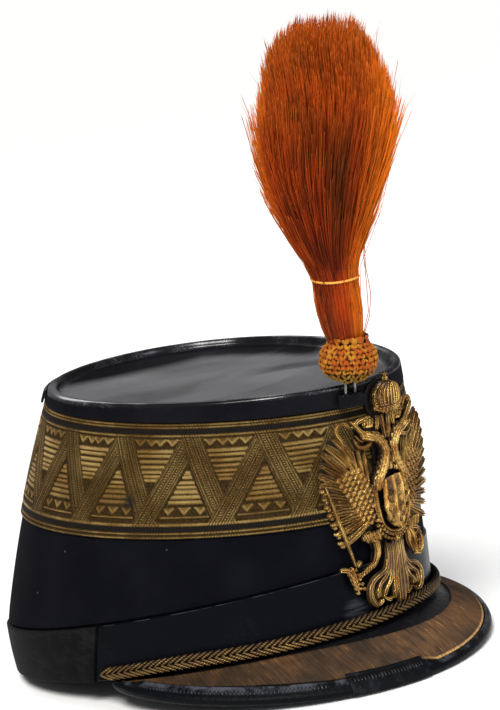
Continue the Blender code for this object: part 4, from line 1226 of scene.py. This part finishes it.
# height, half width
CROWN_ROWS = np.array(((93.2, 7.0), (95, 7.9), (97.4, 8.6), (99.8, 8.3), (101.8, 6.9),
                       (103.4, 4.4), (104.4, 1.2)))
made, across, along = grid(badge, 40, 16)
across, up = across * 2 - 1, CROWN_FOOT + CROWN_HEIGHT * along
half = np.interp(up, CROWN_ROWS[:, 0], CROWN_ROWS[:, 1])
flute = np.abs(np.sin((across * 3.5 + 0.5) * math.pi)) ** 0.6
fall = 1 - ((up - CROWN_FOOT) / 12.4) ** 2
out = 1.2 + np.sqrt(1 - across ** 2) * (4.0 + 1.2 * flute) * (0.45 + 0.55 * fall)
modelled(made, np.stack((CROWN_ASIDE + across * half, up, out), axis=1), flute * 0.55)
for rib in np.linspace(-0.94, 0.94, 10):
    line = [(CROWN_ASIDE + rib * np.interp(at, *CROWN_ROWS.T), at) for at in (94.0, 96.8, 99.6, 102, 104)]
    strand(line, (0.45, 0.55, 0.5, 0.4, 0.25), 1.6, 1.5 + 4.1 * math.sqrt(1 - rib ** 2),
           columns=12, rows=6)
circlet = [(CROWN_ASIDE + across, 92.3 + across ** 2 * 0.026) for across in (-8.9, -4.6, 0, 4.6, 8.9)]
strand(circlet, (1.2, 1.4, 1.5, 1.4, 1.2), 3.6, 2.6, columns=20)
for number in range(11):
    share = number / 5 - 1
    tall = 1.5 - 0.5 * share ** 2
    place = (CROWN_ASIDE + share * 8.3, 92.4 + 1.9 * share ** 2)
    bead(place, 0.7, 0.8, 0.9, 5.9 - 1.9 * share ** 2)
    bead((place[0] + 0.7, place[1] + tall), 0.5, 0.6, 0.9, 5.2 - 2 * share ** 2)
    bead((place[0] + 0.4, place[1] - tall), 0.5, 0.5, 0.9, 5.0 - 2 * share ** 2)
bead((CROWN_ASIDE, 105.2), 1.25, 1.2, 2.4, 2.6)
bead((CROWN_ASIDE, 107.0), 0.5, 1.2, 1.2, 3.0)
strand(((CROWN_ASIDE - 1.5, 107.2), (CROWN_ASIDE + 1.5, 107.2)), (0.45, 0.45), 1.1, 3.0, columns=6)

# Ribbons from the circlet: two hang between the necks, two loop up beside the wings.
on_both_sides(((-2.0, 91.0), (-1.7, 85.6), (-0.9, 80.0)), (0.9, 0.8, 0.6), 1.8, 3.0)
on_both_sides(((-4.4, 91.0), (-4.6, 88.0), (-5.4, 84.6)), (0.8, 0.8, 0.6), 1.8, 3.0)
strand(((-18.2, 88.2), (-20.8, 90.6), (-24.0, 90.2), (-25.0, 87.4), (-22.8, 83.6), (-20.6, 79.6)),
       (0.5, 0.8, 0.9, 0.9, 0.8, 0.6), 1.6, 1.4, columns=20)
strand(((12.6, 87.0), (15.4, 91.6), (18.4, 93.8), (21.2, 92.4), (20.6, 88.6), (17.6, 86.0), (15.6, 82.6)),
       (0.5, 0.8, 0.9, 0.9, 0.9, 0.9, 0.6), 1.8, 1.4, columns=22)
on_both_sides(((-9.0, 90.6), (-13.6, 90.0), (-17.4, 88.0)), (1.0, 1.0, 0.7), 1.8, 1.4)

# Breast: a convex shield in upright panels, with a double beaded collar hung below it.
SHIELD_ASIDE, SHIELD_FOOT, SHIELD_HEIGHT, SHIELD_HALF_WIDTH = 0.9, 40.8, 22.2, 6.9
SHIELD_OUTLINE = ((0, 0.06, 0.2, 0.45, 0.85, 1), (0.05, 0.45, 0.78, 1, 0.98, 0.86))
made, across, along = grid(badge, 48, 48)
across = across * 2 - 1
half = SHIELD_HALF_WIDTH * np.interp(along, *SHIELD_OUTLINE)
up = SHIELD_FOOT + SHIELD_HEIGHT * along + 1.4 * (1 - across ** 2) * along
frame_line = ridge(np.abs(across), 0.9, 0.09, 0.06) + ridge(np.abs(across), 0.34, 0.05, 0.05)
carved = 0.75 * frame_line
out = (2.2 + 5.0 * np.sqrt(np.maximum(0, 1 - 0.82 * across ** 2))
       * np.interp(along, (0, 0.25, 0.8, 1), (0.72, 1, 0.95, 0.7)))
modelled(made, np.stack((SHIELD_ASIDE + across * half, up, out + carved), axis=1), 0.5 + 0.5 * carved)
for side in (-1, 1):
    for low in (43.6, 48.6, 53.6):
        curl = ((3.2, 0), (5.2, 0.6), (5.4, 2.4), (3.6, 2.8), (3.2, 4.2), (4.8, 4.8))
        line = [(SHIELD_ASIDE + side * across * (0.8 if low < 45 else 1), low + up) for across, up in curl]
        strand(line, (0.3, 0.5, 0.5, 0.45, 0.3), 1.3, 6.3 if low > 45 else 5.6, columns=14, rows=6)
for low in (45.0, 49.5, 54.0, 58.5):
    bead((SHIELD_ASIDE, low), 0.9, 1.6, 1.0, 7.3)
# Every face of the shield takes one place of the cover map, so no chased lines run over it.
for face in {face for vert in made for face in vert.link_faces}:
    for loop in face.loops:
        loop[badge.loops.layers.uv["cover"]].uv = (0, 0)
HANGING = ((-9.6, 50.0), (-8.2, 43.4), (-4.4, 39.4), (0, 38.2), (4.4, 39.4), (8.2, 43.4), (9.6, 50.0))
strand([(across * 0.96, up + 1.5) for across, up in HANGING], (0.55,) * 3, 1.4, 4.2, columns=24, rows=6)
for row in (0, 1):
    for number in range(17):
        middle = through([(across * (1 + row * 0.1), up - row * 1.9) for across, up in HANGING],
                         np.array([0.04 + number / 16 * 0.92]))[0]
        bead(tuple(middle), 0.72, 0.72, 1.2, 4.0 - row * 0.6)
strand(((0, 38.0), (0, 34.6)), (1.2, 0.8), 3.6, 1.6, columns=8)
for across, up in ((-3.6, 67.5), (0, 68.6), (3.6, 67.5), (-1.9, 71.2), (1.9, 71.2)):
    strand(((across - 0.2, up - 2.2), (across, up + 1.6)), (1.2, 0.9), 1.8, 3.6, columns=8)

# Legs and what the claws hold: a long thin sword on the wearer's right, an orb on the left.
on_both_sides(((-17.6, 39.8), (-13.6, 40.0), (-9.6, 37.4)), (1.5, 2.5, 2.2), 2.4, 1.4)
on_both_sides(((-10.4, 38.0), (-9.9, 33.0), (-11.2, 29.6), (-13.0, 26.6)), (2.2, 1.5, 1.2, 1.0), 2.0, 1.4)
for number in range(4):
    on_both_sides(((-17.0 + number * 2.2, 42.2), (-15.6 + number * 2.2, 37.8)), (0.8, 0.6),
                  1.4, 3.0, columns=7)
for number in range(7):
    share = number / 6
    bead((-13.6 - 7.4 * share, 27.4 - 3.4 * share), 0.62, 1.35 - 0.3 * share, 1.5, 1.8)
    bead((12.4 + 2.0 * share, 31.6 - 6.4 * share), 1.2, 0.6, 1.4, 1.8)
strand(((-33.0, 66.6), (-28.0, 48.6), (-22.6, 29.0)), (0.5, 0.62, 0.62), 1.5, 2.9, columns=26, rows=8)
for up in (64.0, 60.6, 57.0, 53.2, 49.0, 44.6, 40.4):
    edge = -34.2 + 0.16 * (66 - up) + 0.003 * (66 - up) ** 2
    bead((edge, up), 1.25, 0.8, 1.5, 1.3)
    bead((edge + 0.9, up - 1.5), 0.9, 0.8, 1.4, 1.3)
strand(((-29.6, 28.8), (-27.2, 28.4), (-24.6, 27.0)), (0.9, 1.2, 0.9), 1.9, 1.6)
strand(((-19.6, 31.0), (-21.8, 28.6)), (0.9, 0.8), 2.2, 1.8, columns=8)
strand(((-24.6, 29.0), (-23.4, 24.0), (-21.6, 17.0)), (2.0, 1.9, 0.7), 1.6, 1.2, columns=14)
for row in range(6):
    for place in range(3 if row < 5 else 1):
        across = -26.6 + place * 2.0 + row * 0.85
        bead((across, 28.6 - row * 2.25 - place * 0.5), 0.72, 0.72, 1.5, 2.0)
ring_turns = np.linspace(0, FULL_TURN, 13)
orb = [(17.4 + 3.4 * math.sin(turn), 29.4 + 4.6 * math.cos(turn)) for turn in ring_turns]
strand(orb, (1.25,) * 3, 2.3, 1.2, columns=30, rows=8)
strand(((14.4, 29.0), (17.4, 30.2), (20.4, 29.4)), (0.5, 0.6, 0.5), 1.6, 1.4)
bead((17.4, 35.0), 0.8, 1.4, 1.6, 1.6)
strand(((9.2, 38.6), (11.8, 35.4), (13.2, 30.6), (15.0, 26.4)), (1.2, 1.3, 1.0, 0.6), 2.4, 2.0, columns=16)
strand(((12.0, 37.4), (15.6, 36.6), (19.4, 34.4)), (0.9, 1.1, 0.7), 2.0, 1.6)

# Tail: ribbed plumes that flow down and curl outwards on each side.
TAIL = (
    ((-5.0, 36.0), (-4.8, 28.6), (-7.2, 23.6), (-12.3, 21.7), (-15.7, 18.8), (-16.6, 14.4),
     (-14.4, 10.2), (-11.6, 10.0), (-10.6, 11.8)),
    ((-4.2, 35.0), (-4.4, 26.4), (-7.4, 21.4), (-11.2, 18.6), (-12.6, 15.4), (-12.2, 12.6)),
    ((-3.2, 35.0), (-3.8, 24.8), (-5.6, 19.0), (-8.6, 15.8), (-9.4, 12.8)),
    ((-2.2, 36.0), (-2.6, 25.0), (-3.4, 17.0), (-3.0, 10.6)),
    ((-0.7, 36.6), (-0.9, 24.0), (-1.0, 14.0), (-0.8, 8.4)),
)
for number, plume in enumerate(TAIL):
    widths = (0.9, 1.3, 1.5, 1.1, 0.7) if number < 3 else (1.0, 1.1, 1.2, 1.3, 0.7)
    on_both_sides(plume, widths, 2.5 - number * 0.1, 1.3 + number * 0.35, columns=26, rows=10, rubbed=0.5)
    for aside in (-0.85, 0.85):
        line = [(across + aside, up + aside * 0.35) for across, up in plume[1:]]
        on_both_sides(line, (0.35, 0.5, 0.3), 2.4 - number * 0.1, 1.4 + number * 0.35,
                      columns=18, rows=6, rubbed=0.85)
on_both_sides(((-9.4, 12.6), (-6.4, 10.4), (-4.0, 11.0)), (0.5, 1.0, 0.5), 1.8, 1.4)

moved(badge.verts, on_badge(np.array([vert.co for vert in badge.verts])))
bmesh.ops.remove_doubles(badge, verts=badge.verts, dist=0.0005)
gilt = Finish("gilt_brass", (0.5, 0.29, 0.08), 0.34, Metallic=0.95)
gilt_relief = gilt.attribute("relief")
dull_patches = gilt.place.grain(0.12, 4, 0.6)
pitted = gilt.place.grain(2.6, 4, 0.7)
chased = (gilt.cover.part(1) * (FULL_TURN * 9)).sine() * 0.5 + 0.5
# Painted shade and highlight: low relief goes near-black and crests stay bright, with real tarnish,
# pitting and chasing.
clean_and_lit = (gilt_relief * 0.95 + dull_patches * 0.8 + pitted * 0.9 + chased * 0.5 - 1.28).between(0.0, 0.62)
rich = dull_patches.between(0.3, 0.7).colour((0.42, 0.18, 0.035), (0.88, 0.56, 0.17))
gilt.feed(Base_Color=clean_and_lit.colour((0.010, 0.005, 0.003), rich))
gilt.feed(Metallic=0.3 + clean_and_lit * 0.65, Roughness=0.42 - clean_and_lit * 0.24 + pitted * 0.08)
gilt.bump(pitted * 0.9 + chased * gilt_relief * 1.2, 0.36)
piece("badge", close_ends(badge), gilt, "eagle_badge", sharp=60)

# ---------------------------------------------------------------------------------------------------------
# Plume socket: a strip of black leather bent into a flat loop and sewn to the rim's skirt beside the
# badge. The plume leans forward in it, and is placed sideways, outwards and up from the loop's middle.
PLUME_TURN, PLUME_LEAN = math.radians(-14.4), math.radians(12.4)
SOCKET_DROP, SOCKET_STANDS = 7, 3.7

plume_foot = below_rim(PLUME_TURN, SOCKET_DROP, SOCKET_STANDS)
plume_up = np.array((0, -math.sin(PLUME_LEAN), math.cos(PLUME_LEAN)))
plume_along = below_rim(PLUME_TURN + 0.01, SOCKET_DROP, SOCKET_STANDS) - plume_foot
plume_along -= plume_up * plume_along.dot(plume_up)
plume_along /= np.linalg.norm(plume_along)
plume_out = np.cross(plume_along, plume_up)


def on_plume(aside, out, height):
    """Places given as sideways, outwards and up from the middle of the socket's loop."""
    aside, out, height = np.broadcast_arrays(aside, out, height)
    return (plume_foot + aside[:, None] * plume_along + out[:, None] * plume_out
            + height[:, None] * plume_up)


def socket_loop(across, along):
    turn = across * FULL_TURN
    corners = [(0, -2.7), (0, 0), (0, 2.7), (0.15, 3), (0.45, 3.05), (0.8, 3), (1, 2.6),
               (1.08, 1.4), (1.02, 0)]
    corners += [(1.08, -1.4), (1, -2.6), (0.8, -3), (0.15, -3)]
    share, height = along_section(along, corners)
    half_long, half_deep = 4.0 + 2.2 * share, 0.98 + 0.77 * share
    straight = np.clip(np.cos(turn) * 1.6, -1, 1) * (half_long - half_deep)
    return on_plume(straight + half_deep * np.cos(turn), half_deep * np.sin(turn), height)


loop_leather = Finish("socket_leather", (0.006, 0.006, 0.007), 0.22, Specular_IOR_Level=0.06)
loop_wear = loop_leather.place.grain(0.5, 4)
scraped = loop_wear.between(0.5, 0.75)
loop_leather.feed(Base_Color=scraped.colour((0.003, 0.003, 0.004), (0.009, 0.009, 0.011)))
loop_leather.bump(loop_wear, 0.3)
piece("socket", laid(72, 39, socket_loop, wrap=True), loop_leather, "plume_socket")

# Two stiff iron wires with a little rust, that carry the plume and slide down into the loop.
WIRE_RADIUS, WIRE_SPACING, WIRE_LENGTH, WIRE_TOP = 0.6, 4.6, 10.4, 7.9

iron = Finish("iron_wire", (0.35, 0.33, 0.3), 0.35, Metallic=0.9)
iron_rust = iron.place.grain(0.8, 4)
iron.feed(Base_Color=iron_rust.between(0.45, 0.7).colour((0.26, 0.25, 0.23), (0.07, 0.06, 0.05)))
iron.bump(iron.place.grain(4, 3), 0.05)
for name, side in (("near", -1), ("far", 1)):
    bm = bmesh.new()
    bmesh.ops.create_cone(bm, cap_ends=True, segments=20, radius1=WIRE_RADIUS, radius2=WIRE_RADIUS,
                          depth=WIRE_LENGTH)
    ends = [edge for edge in bm.edges if abs(edge.verts[0].co.z - edge.verts[1].co.z) < 0.01]
    bmesh.ops.bevel(bm, geom=ends, offset=0.2, segments=3, profile=0.5, affect="EDGES", material=-1)
    spots = np.array([vert.co for vert in bm.verts])
    aside, height = spots[:, 0] + side * WIRE_SPACING / 2, spots[:, 2] + WIRE_TOP - WIRE_LENGTH / 2
    moved(bm.verts, on_plume(aside, spots[:, 1], height))
    piece("wire_" + name, bm, iron, "plume_wire_" + name)

# ---------------------------------------------------------------------------------------------------------
# Ball: crocheted wool over a wooden bead, orange and yellow mixed, in rows of slanting loops; the cup
# below it is plain yellow and coarser. The hair is glued into a hole in the ball's top.
BALL_OVER_SOCKET, BALL_RADIUS, BALL_HALF_HEIGHT = 17.6, 11.7, 9.4
BALL_CUT, CUP_TOP = 6.6, -4.0
# Its upper rows form a short collar round the hair: its share of the ball's radius, and its rise.
COLLAR_SHARE, COLLAR_RISE = 0.71, 1.9


def on_ball(turn, rise, proud):
    """Places on the ball: rise is an angle over its middle, proud is outwards from its surface."""
    radius = (BALL_RADIUS + proud) * np.maximum(np.cos(rise), np.where(rise > 0, COLLAR_SHARE, 0))
    collar = COLLAR_RISE * np.clip((rise - 0.78) / 0.34, 0, 1)
    height = (BALL_HALF_HEIGHT + proud) * np.sin(rise) + collar
    return on_plume(radius * np.cos(turn), radius * np.sin(turn), BALL_OVER_SOCKET + height)


def bead_between(low, high, sunk):
    """The bead's surface between two heights, closed flat at both ends."""
    def surface(across, along):
        inner = np.clip((along - 0.1) / 0.8, 0, 1)
        rise = np.arcsin(np.clip((low + (high - low) * inner) / BALL_HALF_HEIGHT, -1, 1))
        shrink = np.clip(np.minimum(along, 1 - along) / 0.1, 0, 1)
        radius = (BALL_RADIUS - sunk) * np.cos(rise) * shrink
        height = (BALL_HALF_HEIGHT - sunk) * np.sin(rise)
        turn = across * FULL_TURN
        return on_plume(radius * np.cos(turn), radius * np.sin(turn), BALL_OVER_SOCKET + height)
    return laid(48, 20, surface, wrap=True)


def wool_loop(bm, start, end, thick, bow):
    """One leg of a stitch: a short fat strand from one place on the ball to another, bowed outwards."""
    made, t, around = grid(bm, 6, 6)
    roll = around * FULL_TURN
    width = np.sin(np.clip(t, 0.001, 0.999) * math.pi) ** 0.5
    across = np.array((start[1] - end[1], end[0] - start[0]))
    across /= np.linalg.norm(across) * BALL_RADIUS
    spot = (np.array(start) + (np.array(end) - start) * t[:, None]
            + across * (np.cos(roll) * thick * width)[:, None])
    shrink = max(0.3, math.cos(start[1]))
    middle = (start[0] + end[0]) / 2
    turn = middle + (spot[:, 0] - middle) / shrink
    proud = bow * width + np.sin(roll) * thick * width - 0.15
    moved(made, on_ball(turn, spot[:, 1], proud))


def crocheted(bm, first, last, rows, columns, thick, shuffled):
    """Rows of stitches in pairs of legs that meet in a V, worked round the ball."""
    step = (last - first) / rows
    for row in range(rows):
        rise = first + (row + 0.5) * step
        count = max(8, round(columns * math.cos(rise)))
        wide = FULL_TURN / count * math.cos(rise)
        for column in range(count):
            turn = (column + 0.5 * (row % 2)) * FULL_TURN / count + shuffled.uniform(-0.045, 0.045)
            for side in (-1, 1):
                slope = step * (0.62 + shuffled.uniform(-0.24, 0.2))
                start = (turn + side * wide * 0.46, rise + slope)
                end = (turn + side * wide * 0.06, rise - slope)
                wool_loop(bm, start, end, thick * shuffled.uniform(0.82, 1.22),
                          0.25 + shuffled.uniform(-0.3, 0.35))


def wool_finish(name, deep, bright, mottled):
    wool = Finish(name, bright, 0.75, Specular_IOR_Level=0.2)
    fibres = (wool.cover.part(1) * 40 + wool.cover.part(0) * 22).sine() * 0.5 + 0.5
    blotch = wool.place.grain(0.28, 3, 0.6, 0.5).between(0.42, 0.62)
    low = wool.place.grain(1.8, 4, 0.7)
    # Painted shade: each loop is dark underneath, in the depths' colour, and shows its wool colours on its
    # crest.
    crest = (wool.cover.part(1) * FULL_TURN).sine().between(-0.2, 0.9)
    hue = blotch.colour(bright, mottled)
    wool.feed(Base_Color=(low * 0.45 + fibres * 0.25 + crest * 0.75).between(0.3, 1.05).colour(deep, hue))
    wool.bump(fibres * 0.6 + low, 0.25)
    return wool


shuffled = random.Random(8)
# Of each: where its bead ends below and above, its first and last row in degrees, its rows, the stitches
# in its widest row, how thick the wool is, and the colours of its depths, its crests and its mottling.
for name, low, high, first, last, rows, columns, thick, colours in (
        ("ball", CUP_TOP, BALL_CUT, -26, 64, 7, 27, 0.8,
         ((0.04, 0.010, 0.002), (0.37, 0.075, 0.004), (0.46, 0.19, 0.014))),
        ("cup", -9.3, CUP_TOP - 0.3, -74, -28, 4, 18, 0.72,
         ((0.035, 0.018, 0.005), (0.33, 0.18, 0.02), (0.28, 0.105, 0.01)))):
    wool = wool_finish(name + "_wool", *colours)
    # The bead under the loops takes the depths' colour, as painted shade between them.
    core = Finish(name + "_core", colours[0], 0.9)
    piece(name + "_bead", bead_between(low, high, 0.35), core, slot=slot_of["plume_" + name])
    bm = bmesh.new()
    bm.loops.layers.uv.new("cover")
    crocheted(bm, math.radians(first), math.radians(last), rows, columns, thick, shuffled)
    bmesh.ops.remove_doubles(bm, verts=bm.verts, dist=0.001)
    piece(name, bm, wool, "plume_" + name)

# ---------------------------------------------------------------------------------------------------------
# Hair: a bunch of dyed horsehair bound to its wires, tied at the neck and fanned out above to a clipped
# dome. Each hair is a thin tapering tube, in loose locks; a solid core stands for the ones inside.
HAIR_ROWS = np.array((
    # height over the ball's middle, half width, shift to the rear
    (5.0, 6.9, 0.7), (6.9, 7.4, 0.9), (14, 8.9, 1.9), (23, 10.1, 3.0), (31, 9.5, 3.6), (36, 8.7, 4.1),
    (41.5, 10.3, 4.8), (47, 13.2, 5.6), (55.5, 17, 6.2), (64, 20.5, 6.4), (72.5, 23.6, 6.6),
    (81, 26.2, 6.3), (89, 28.2, 5.6), (97, 29.2, 4.7), (109, 28.4, 3.8), (121, 25.2, 4.4),
    (130, 20.6, 5.4), (137, 15.4, 5.2), (143, 8.4, 3.2), (146, 0, 3.0),
))
HAIR_DEPTH, HAIR_BEND = 0.9, np.array((-0.69, 0.72, 0))
WIDEST, FAN_ON = 97, 0.13
# How far below the dome the shortest hairs end, and the share of the hairs that stand out from the sides.
SHORTEST_BY, FRINGE_SHARE = 26, 0.13
# How high above the ball hairs end, by their share of the way out from the middle of the bunch.
HAIR_ENDS = ((0, 0.34, 0.5, 0.65, 0.8, 0.93, 1), (144.5, 143.5, 139, 132.5, 123, 111, 99))
PARTING, PARTING_HALF = math.radians(102), math.radians(13)
HAIRS, HAIR_SEGMENTS, HAIR_RADIUS, LOCKS = 3500, 9, 0.23, 420
# The side of the bunch that is painted lighter, as if lit from there.
LIT_SIDE = math.radians(31)


def in_hair(aside, out, height):
    """Places up from the ball's middle, shifted to the rear as the bunch bends."""
    shift = np.interp(height, HAIR_ROWS[:, 0], HAIR_ROWS[:, 2])[:, None]
    return on_plume(aside, out, BALL_OVER_SOCKET + height) + HAIR_BEND * shift


def parted_at(turn):
    """1 in the parting of the hair, easing to 0 on both sides of it."""
    near = np.abs(np.mod(turn - PARTING + math.pi, FULL_TURN) - math.pi) / PARTING_HALF
    return np.exp(-near ** 2)


def hair_core(across, along):
    """A solid a little inside the outer form of the bunch, with its parting."""
    turn = across * FULL_TURN
    height = 5 + 122 * np.clip((along - 0.02) / 0.94, 0, 1)
    outline = np.interp(height + 15 * np.clip((height - 80) / 20, 0, 1), HAIR_ROWS[:, 0], HAIR_ROWS[:, 1])
    size = 0.86 * outline * np.clip(np.minimum(along / 0.02, (1 - along) / 0.04), 0, 1)
    size = size * (1 - 0.1 * parted_at(turn)) * (1 + 0.025 * np.sin(turn * 23 + np.sin(turn * 7) * 2))
    return in_hair(size * np.cos(turn), size * HAIR_DEPTH * np.sin(turn), height)


def bunch(seed, shell, low=5, segments=HAIR_SEGMENTS):
    """One layer of hairs from a height up, as a grid whose every fourth column of faces is taken out."""
    dice = np.random.default_rng(seed)
    lock_turn = dice.uniform(0, FULL_TURN, LOCKS)
    lock_tone = dice.uniform(0, 1, LOCKS)
    lock = dice.integers(0, LOCKS, HAIRS)
    turn = lock_turn[lock] + dice.normal(0, 0.045, HAIRS)
    outer, loose = dice.uniform(0, 1, HAIRS) < shell, dice.uniform(0, 1, HAIRS)
    share = 0.97 * np.where(outer, dice.uniform(0.15, 1, HAIRS) ** 0.6, np.sqrt(dice.uniform(0, 1, HAIRS)))
    end = np.interp(share, *HAIR_ENDS) - SHORTEST_BY * dice.uniform(0, 1, HAIRS) ** 3.4
    end = end + dice.normal(0, 1.1, HAIRS)
    fringe = loose < FRINGE_SHARE
    share = np.where(fringe, dice.uniform(0.92, 0.98, HAIRS), share)
    end = np.where(fringe, dice.uniform(62, 110, HAIRS), end)
    stray = (np.where(fringe, dice.uniform(0.5, 4.6, HAIRS), 0)
             + np.where(loose > 0.993, dice.uniform(4, 11, HAIRS), 0))
    bowed = np.where((loose > 0.2) & (loose < 0.2025), dice.uniform(2, 6, HAIRS), 0)
    phase, sway = dice.uniform(0, FULL_TURN, (2, HAIRS)), dice.normal(0, 0.7, (2, HAIRS))
    sway = np.where(dice.uniform(0, 1, HAIRS) < 0.04, sway * 3, sway)
    parted = parted_at(turn)
    tone = 0.5 * lock_tone[lock] + 0.5 * dice.uniform(0, 1, HAIRS)
    columns = HAIRS * 4 - 1
    marks = []

    def hair(across, along):
        column = np.rint(across * columns).astype(int)
        one, corner = column // 4, column % 4
        thick = HAIR_RADIUS * (1 - 0.5 * along ** 2) * ((along > 0) & (along < 1))
        along = np.minimum(along * 1.11, 1)
        height = low + (end[one] - low) * along ** 1.35
        widest = np.interp(np.minimum(height, WIDEST), HAIR_ROWS[:, 0], HAIR_ROWS[:, 1])
        fan = widest + FAN_ON * np.maximum(0, height - WIDEST)
        up = along ** 1.5
        gap = parted[one] * np.clip((height - 38) / 25, 0, 1) * np.clip((112 - height) / 20, 0, 1)
        size = (share[one] * fan * (1 - 0.1 * gap) + stray[one] * along ** 5
                + sway[0][one] * up * np.sin(phase[0][one] + 5 * along))
        size = size + bowed[one] * np.sin(np.clip((height - 7) / 50, 0, 1) * math.pi)
        aim = turn[one] + (lock_turn[lock[one]] - turn[one]) * 0.5 * along
        aside = size * np.cos(aim) + sway[1][one] * up * np.sin(phase[1][one] + 4 * along)
        out = size * HAIR_DEPTH * np.sin(aim)
        roll = aim + corner * FULL_TURN / 3
        # Painted light: hairs towards the lit side, at the outer edge of the other side and at the top are
        # marked to be lightened.
        side = np.cos(aim - LIT_SIDE)
        neck = np.clip((55 - height) / 20, 0, 1)
        far = np.clip((side - 0.5 + 0.35 * neck) / (0.45 + 0.35 * neck), 0, 1) * (1 - 0.25 * neck)
        far = far + 0.8 * np.clip((-side - 0.8) / 0.2, 0, 1) + 0.8 * np.clip((height - 133) / 8, 0, 1)
        # Painted shade, marked as the parting: the parting itself and one side of the neck.
        shaded = np.maximum(gap, 0.6 * neck * np.clip((0.2 - side) / 0.5, 0, 1)
                            * np.clip((side + 1) / 0.3, 0, 1))
        marks.extend((tone[one], shaded, far * share[one] ** 2, corner))
        return in_hair(aside + thick * np.cos(roll), out + thick * np.sin(roll), height)

    bm = laid(columns, segments, hair)
    marked(bm, ("tone", "parting", "lightened", "corner"), marks)
    corner = bm.verts.layers.float["corner"]
    between = [face for face in bm.faces if {vert[corner] for vert in face.verts} == {0, 3}]
    bmesh.ops.delete(bm, geom=between, context="FACES")
    bmesh.ops.remove_doubles(bm, verts=bm.verts, dist=0.00001)
    return bm


# The core is coloured as painted shade: streaked dark red-brown, for the hairs deep in the bunch.
inner_hair = Finish("hair_core", (0.16, 0.03, 0.004), 0.8, Specular_IOR_Level=0.1)
streaks = inner_hair.cover.stretched(90, 2.5, 1).grain(1.0, 4, 0.6)
inner_hair.feed(Base_Color=streaks.between(0.35, 0.65).colour((0.035, 0.006, 0.001), (0.26, 0.045, 0.004)))
inner_hair.bump(streaks, 0.5)
piece("hair_core", laid(96, 40, hair_core, wrap=True), inner_hair, slot=slot_of["plume_hair"])

horsehair = Finish("horsehair", (0.4, 0.08, 0.005), 0.6, Specular_IOR_Level=0.12)
tone, parting = horsehair.attribute("tone"), horsehair.attribute("parting")
to_tip = horsehair.cover.part(1)
# Painted shade in broad patches, over each hair's own tone of dye.
shadowed = horsehair.place.stretched(1, 1, 0.35).grain(0.09, 3, 0.6).between(0.35, 0.65)
light = (tone * 0.75 + shadowed * 0.4 - 0.1).between(0.05, 0.95)
dyed_and_shadowed = light.colour((0.09, 0.008, 0.001), (0.43, 0.047, 0.0025))
# Painted light: the tips are lighter, as for light through them; a few hairs are paler in their own tone.
pale_hairs_and_tip_light = (to_tip.between(0.84, 1.0) * 0.36 + tone.between(0.94, 0.97) * 0.4).least(1)
with_tip_light = pale_hairs_and_tip_light.colour(dyed_and_shadowed, (0.85, 0.22, 0.012))
# Painted light on the lit side of the bunch, its far outer edge and its top.
painted_side_light = (horsehair.attribute("lightened") * (0.35 + tone * 0.75)).between(0.0, 1.0)
lightened = painted_side_light.colour(with_tip_light, (0.9, 0.215, 0.008))
# Painted shade in the parting and on one side of the neck.
horsehair.feed(Base_Color=(parting * 0.7).colour(lightened, (0.04, 0.012, 0.003)))
# Painted light: the tips glow a little, standing in for light through the thin hairs.
horsehair.feed(Emission_Color=to_tip.between(0.6, 1).colour((0.02, 0.002, 0), (1, 0.24, 0.01)),
               Emission_Strength=0.05)
piece("hair", bunch(11, 0.55), horsehair, "plume_hair", sharp=180)
piece("outer_hair", bunch(12, 0.9), horsehair, slot=slot_of["plume_hair"], sharp=180)
piece("upper_hair", bunch(13, 0.5, 64, 4), horsehair, slot=slot_of["plume_hair"], sharp=180)

# Tie: two-ply yellow-orange thread wound round the neck of the hair.
TIE_HEIGHT, TIE_RADIUS, TIE_THREAD, TIE_TWISTS = 35.6, 10.0, 0.5, 46


def tie_thread(across, along):
    """One turn of thread; the two plies show as a twist in its thickness."""
    turn, roll = across * FULL_TURN, along * FULL_TURN
    thick = TIE_THREAD * (1 + 0.16 * np.cos(2 * roll - TIE_TWISTS * turn))
    size = TIE_RADIUS + thick * np.cos(roll)
    height = TIE_HEIGHT + thick * np.sin(roll) + 0.25 * np.sin(turn * 2)
    return in_hair(size * np.cos(turn), size * HAIR_DEPTH * np.sin(turn), height)


thread = Finish("tie_thread", (0.75, 0.33, 0.04), 0.6)
thread.bump(thread.place.grain(5, 3), 0.1)
piece("tie", laid(230, 12, tie_thread, wrap=True), thread, "plume_tie")
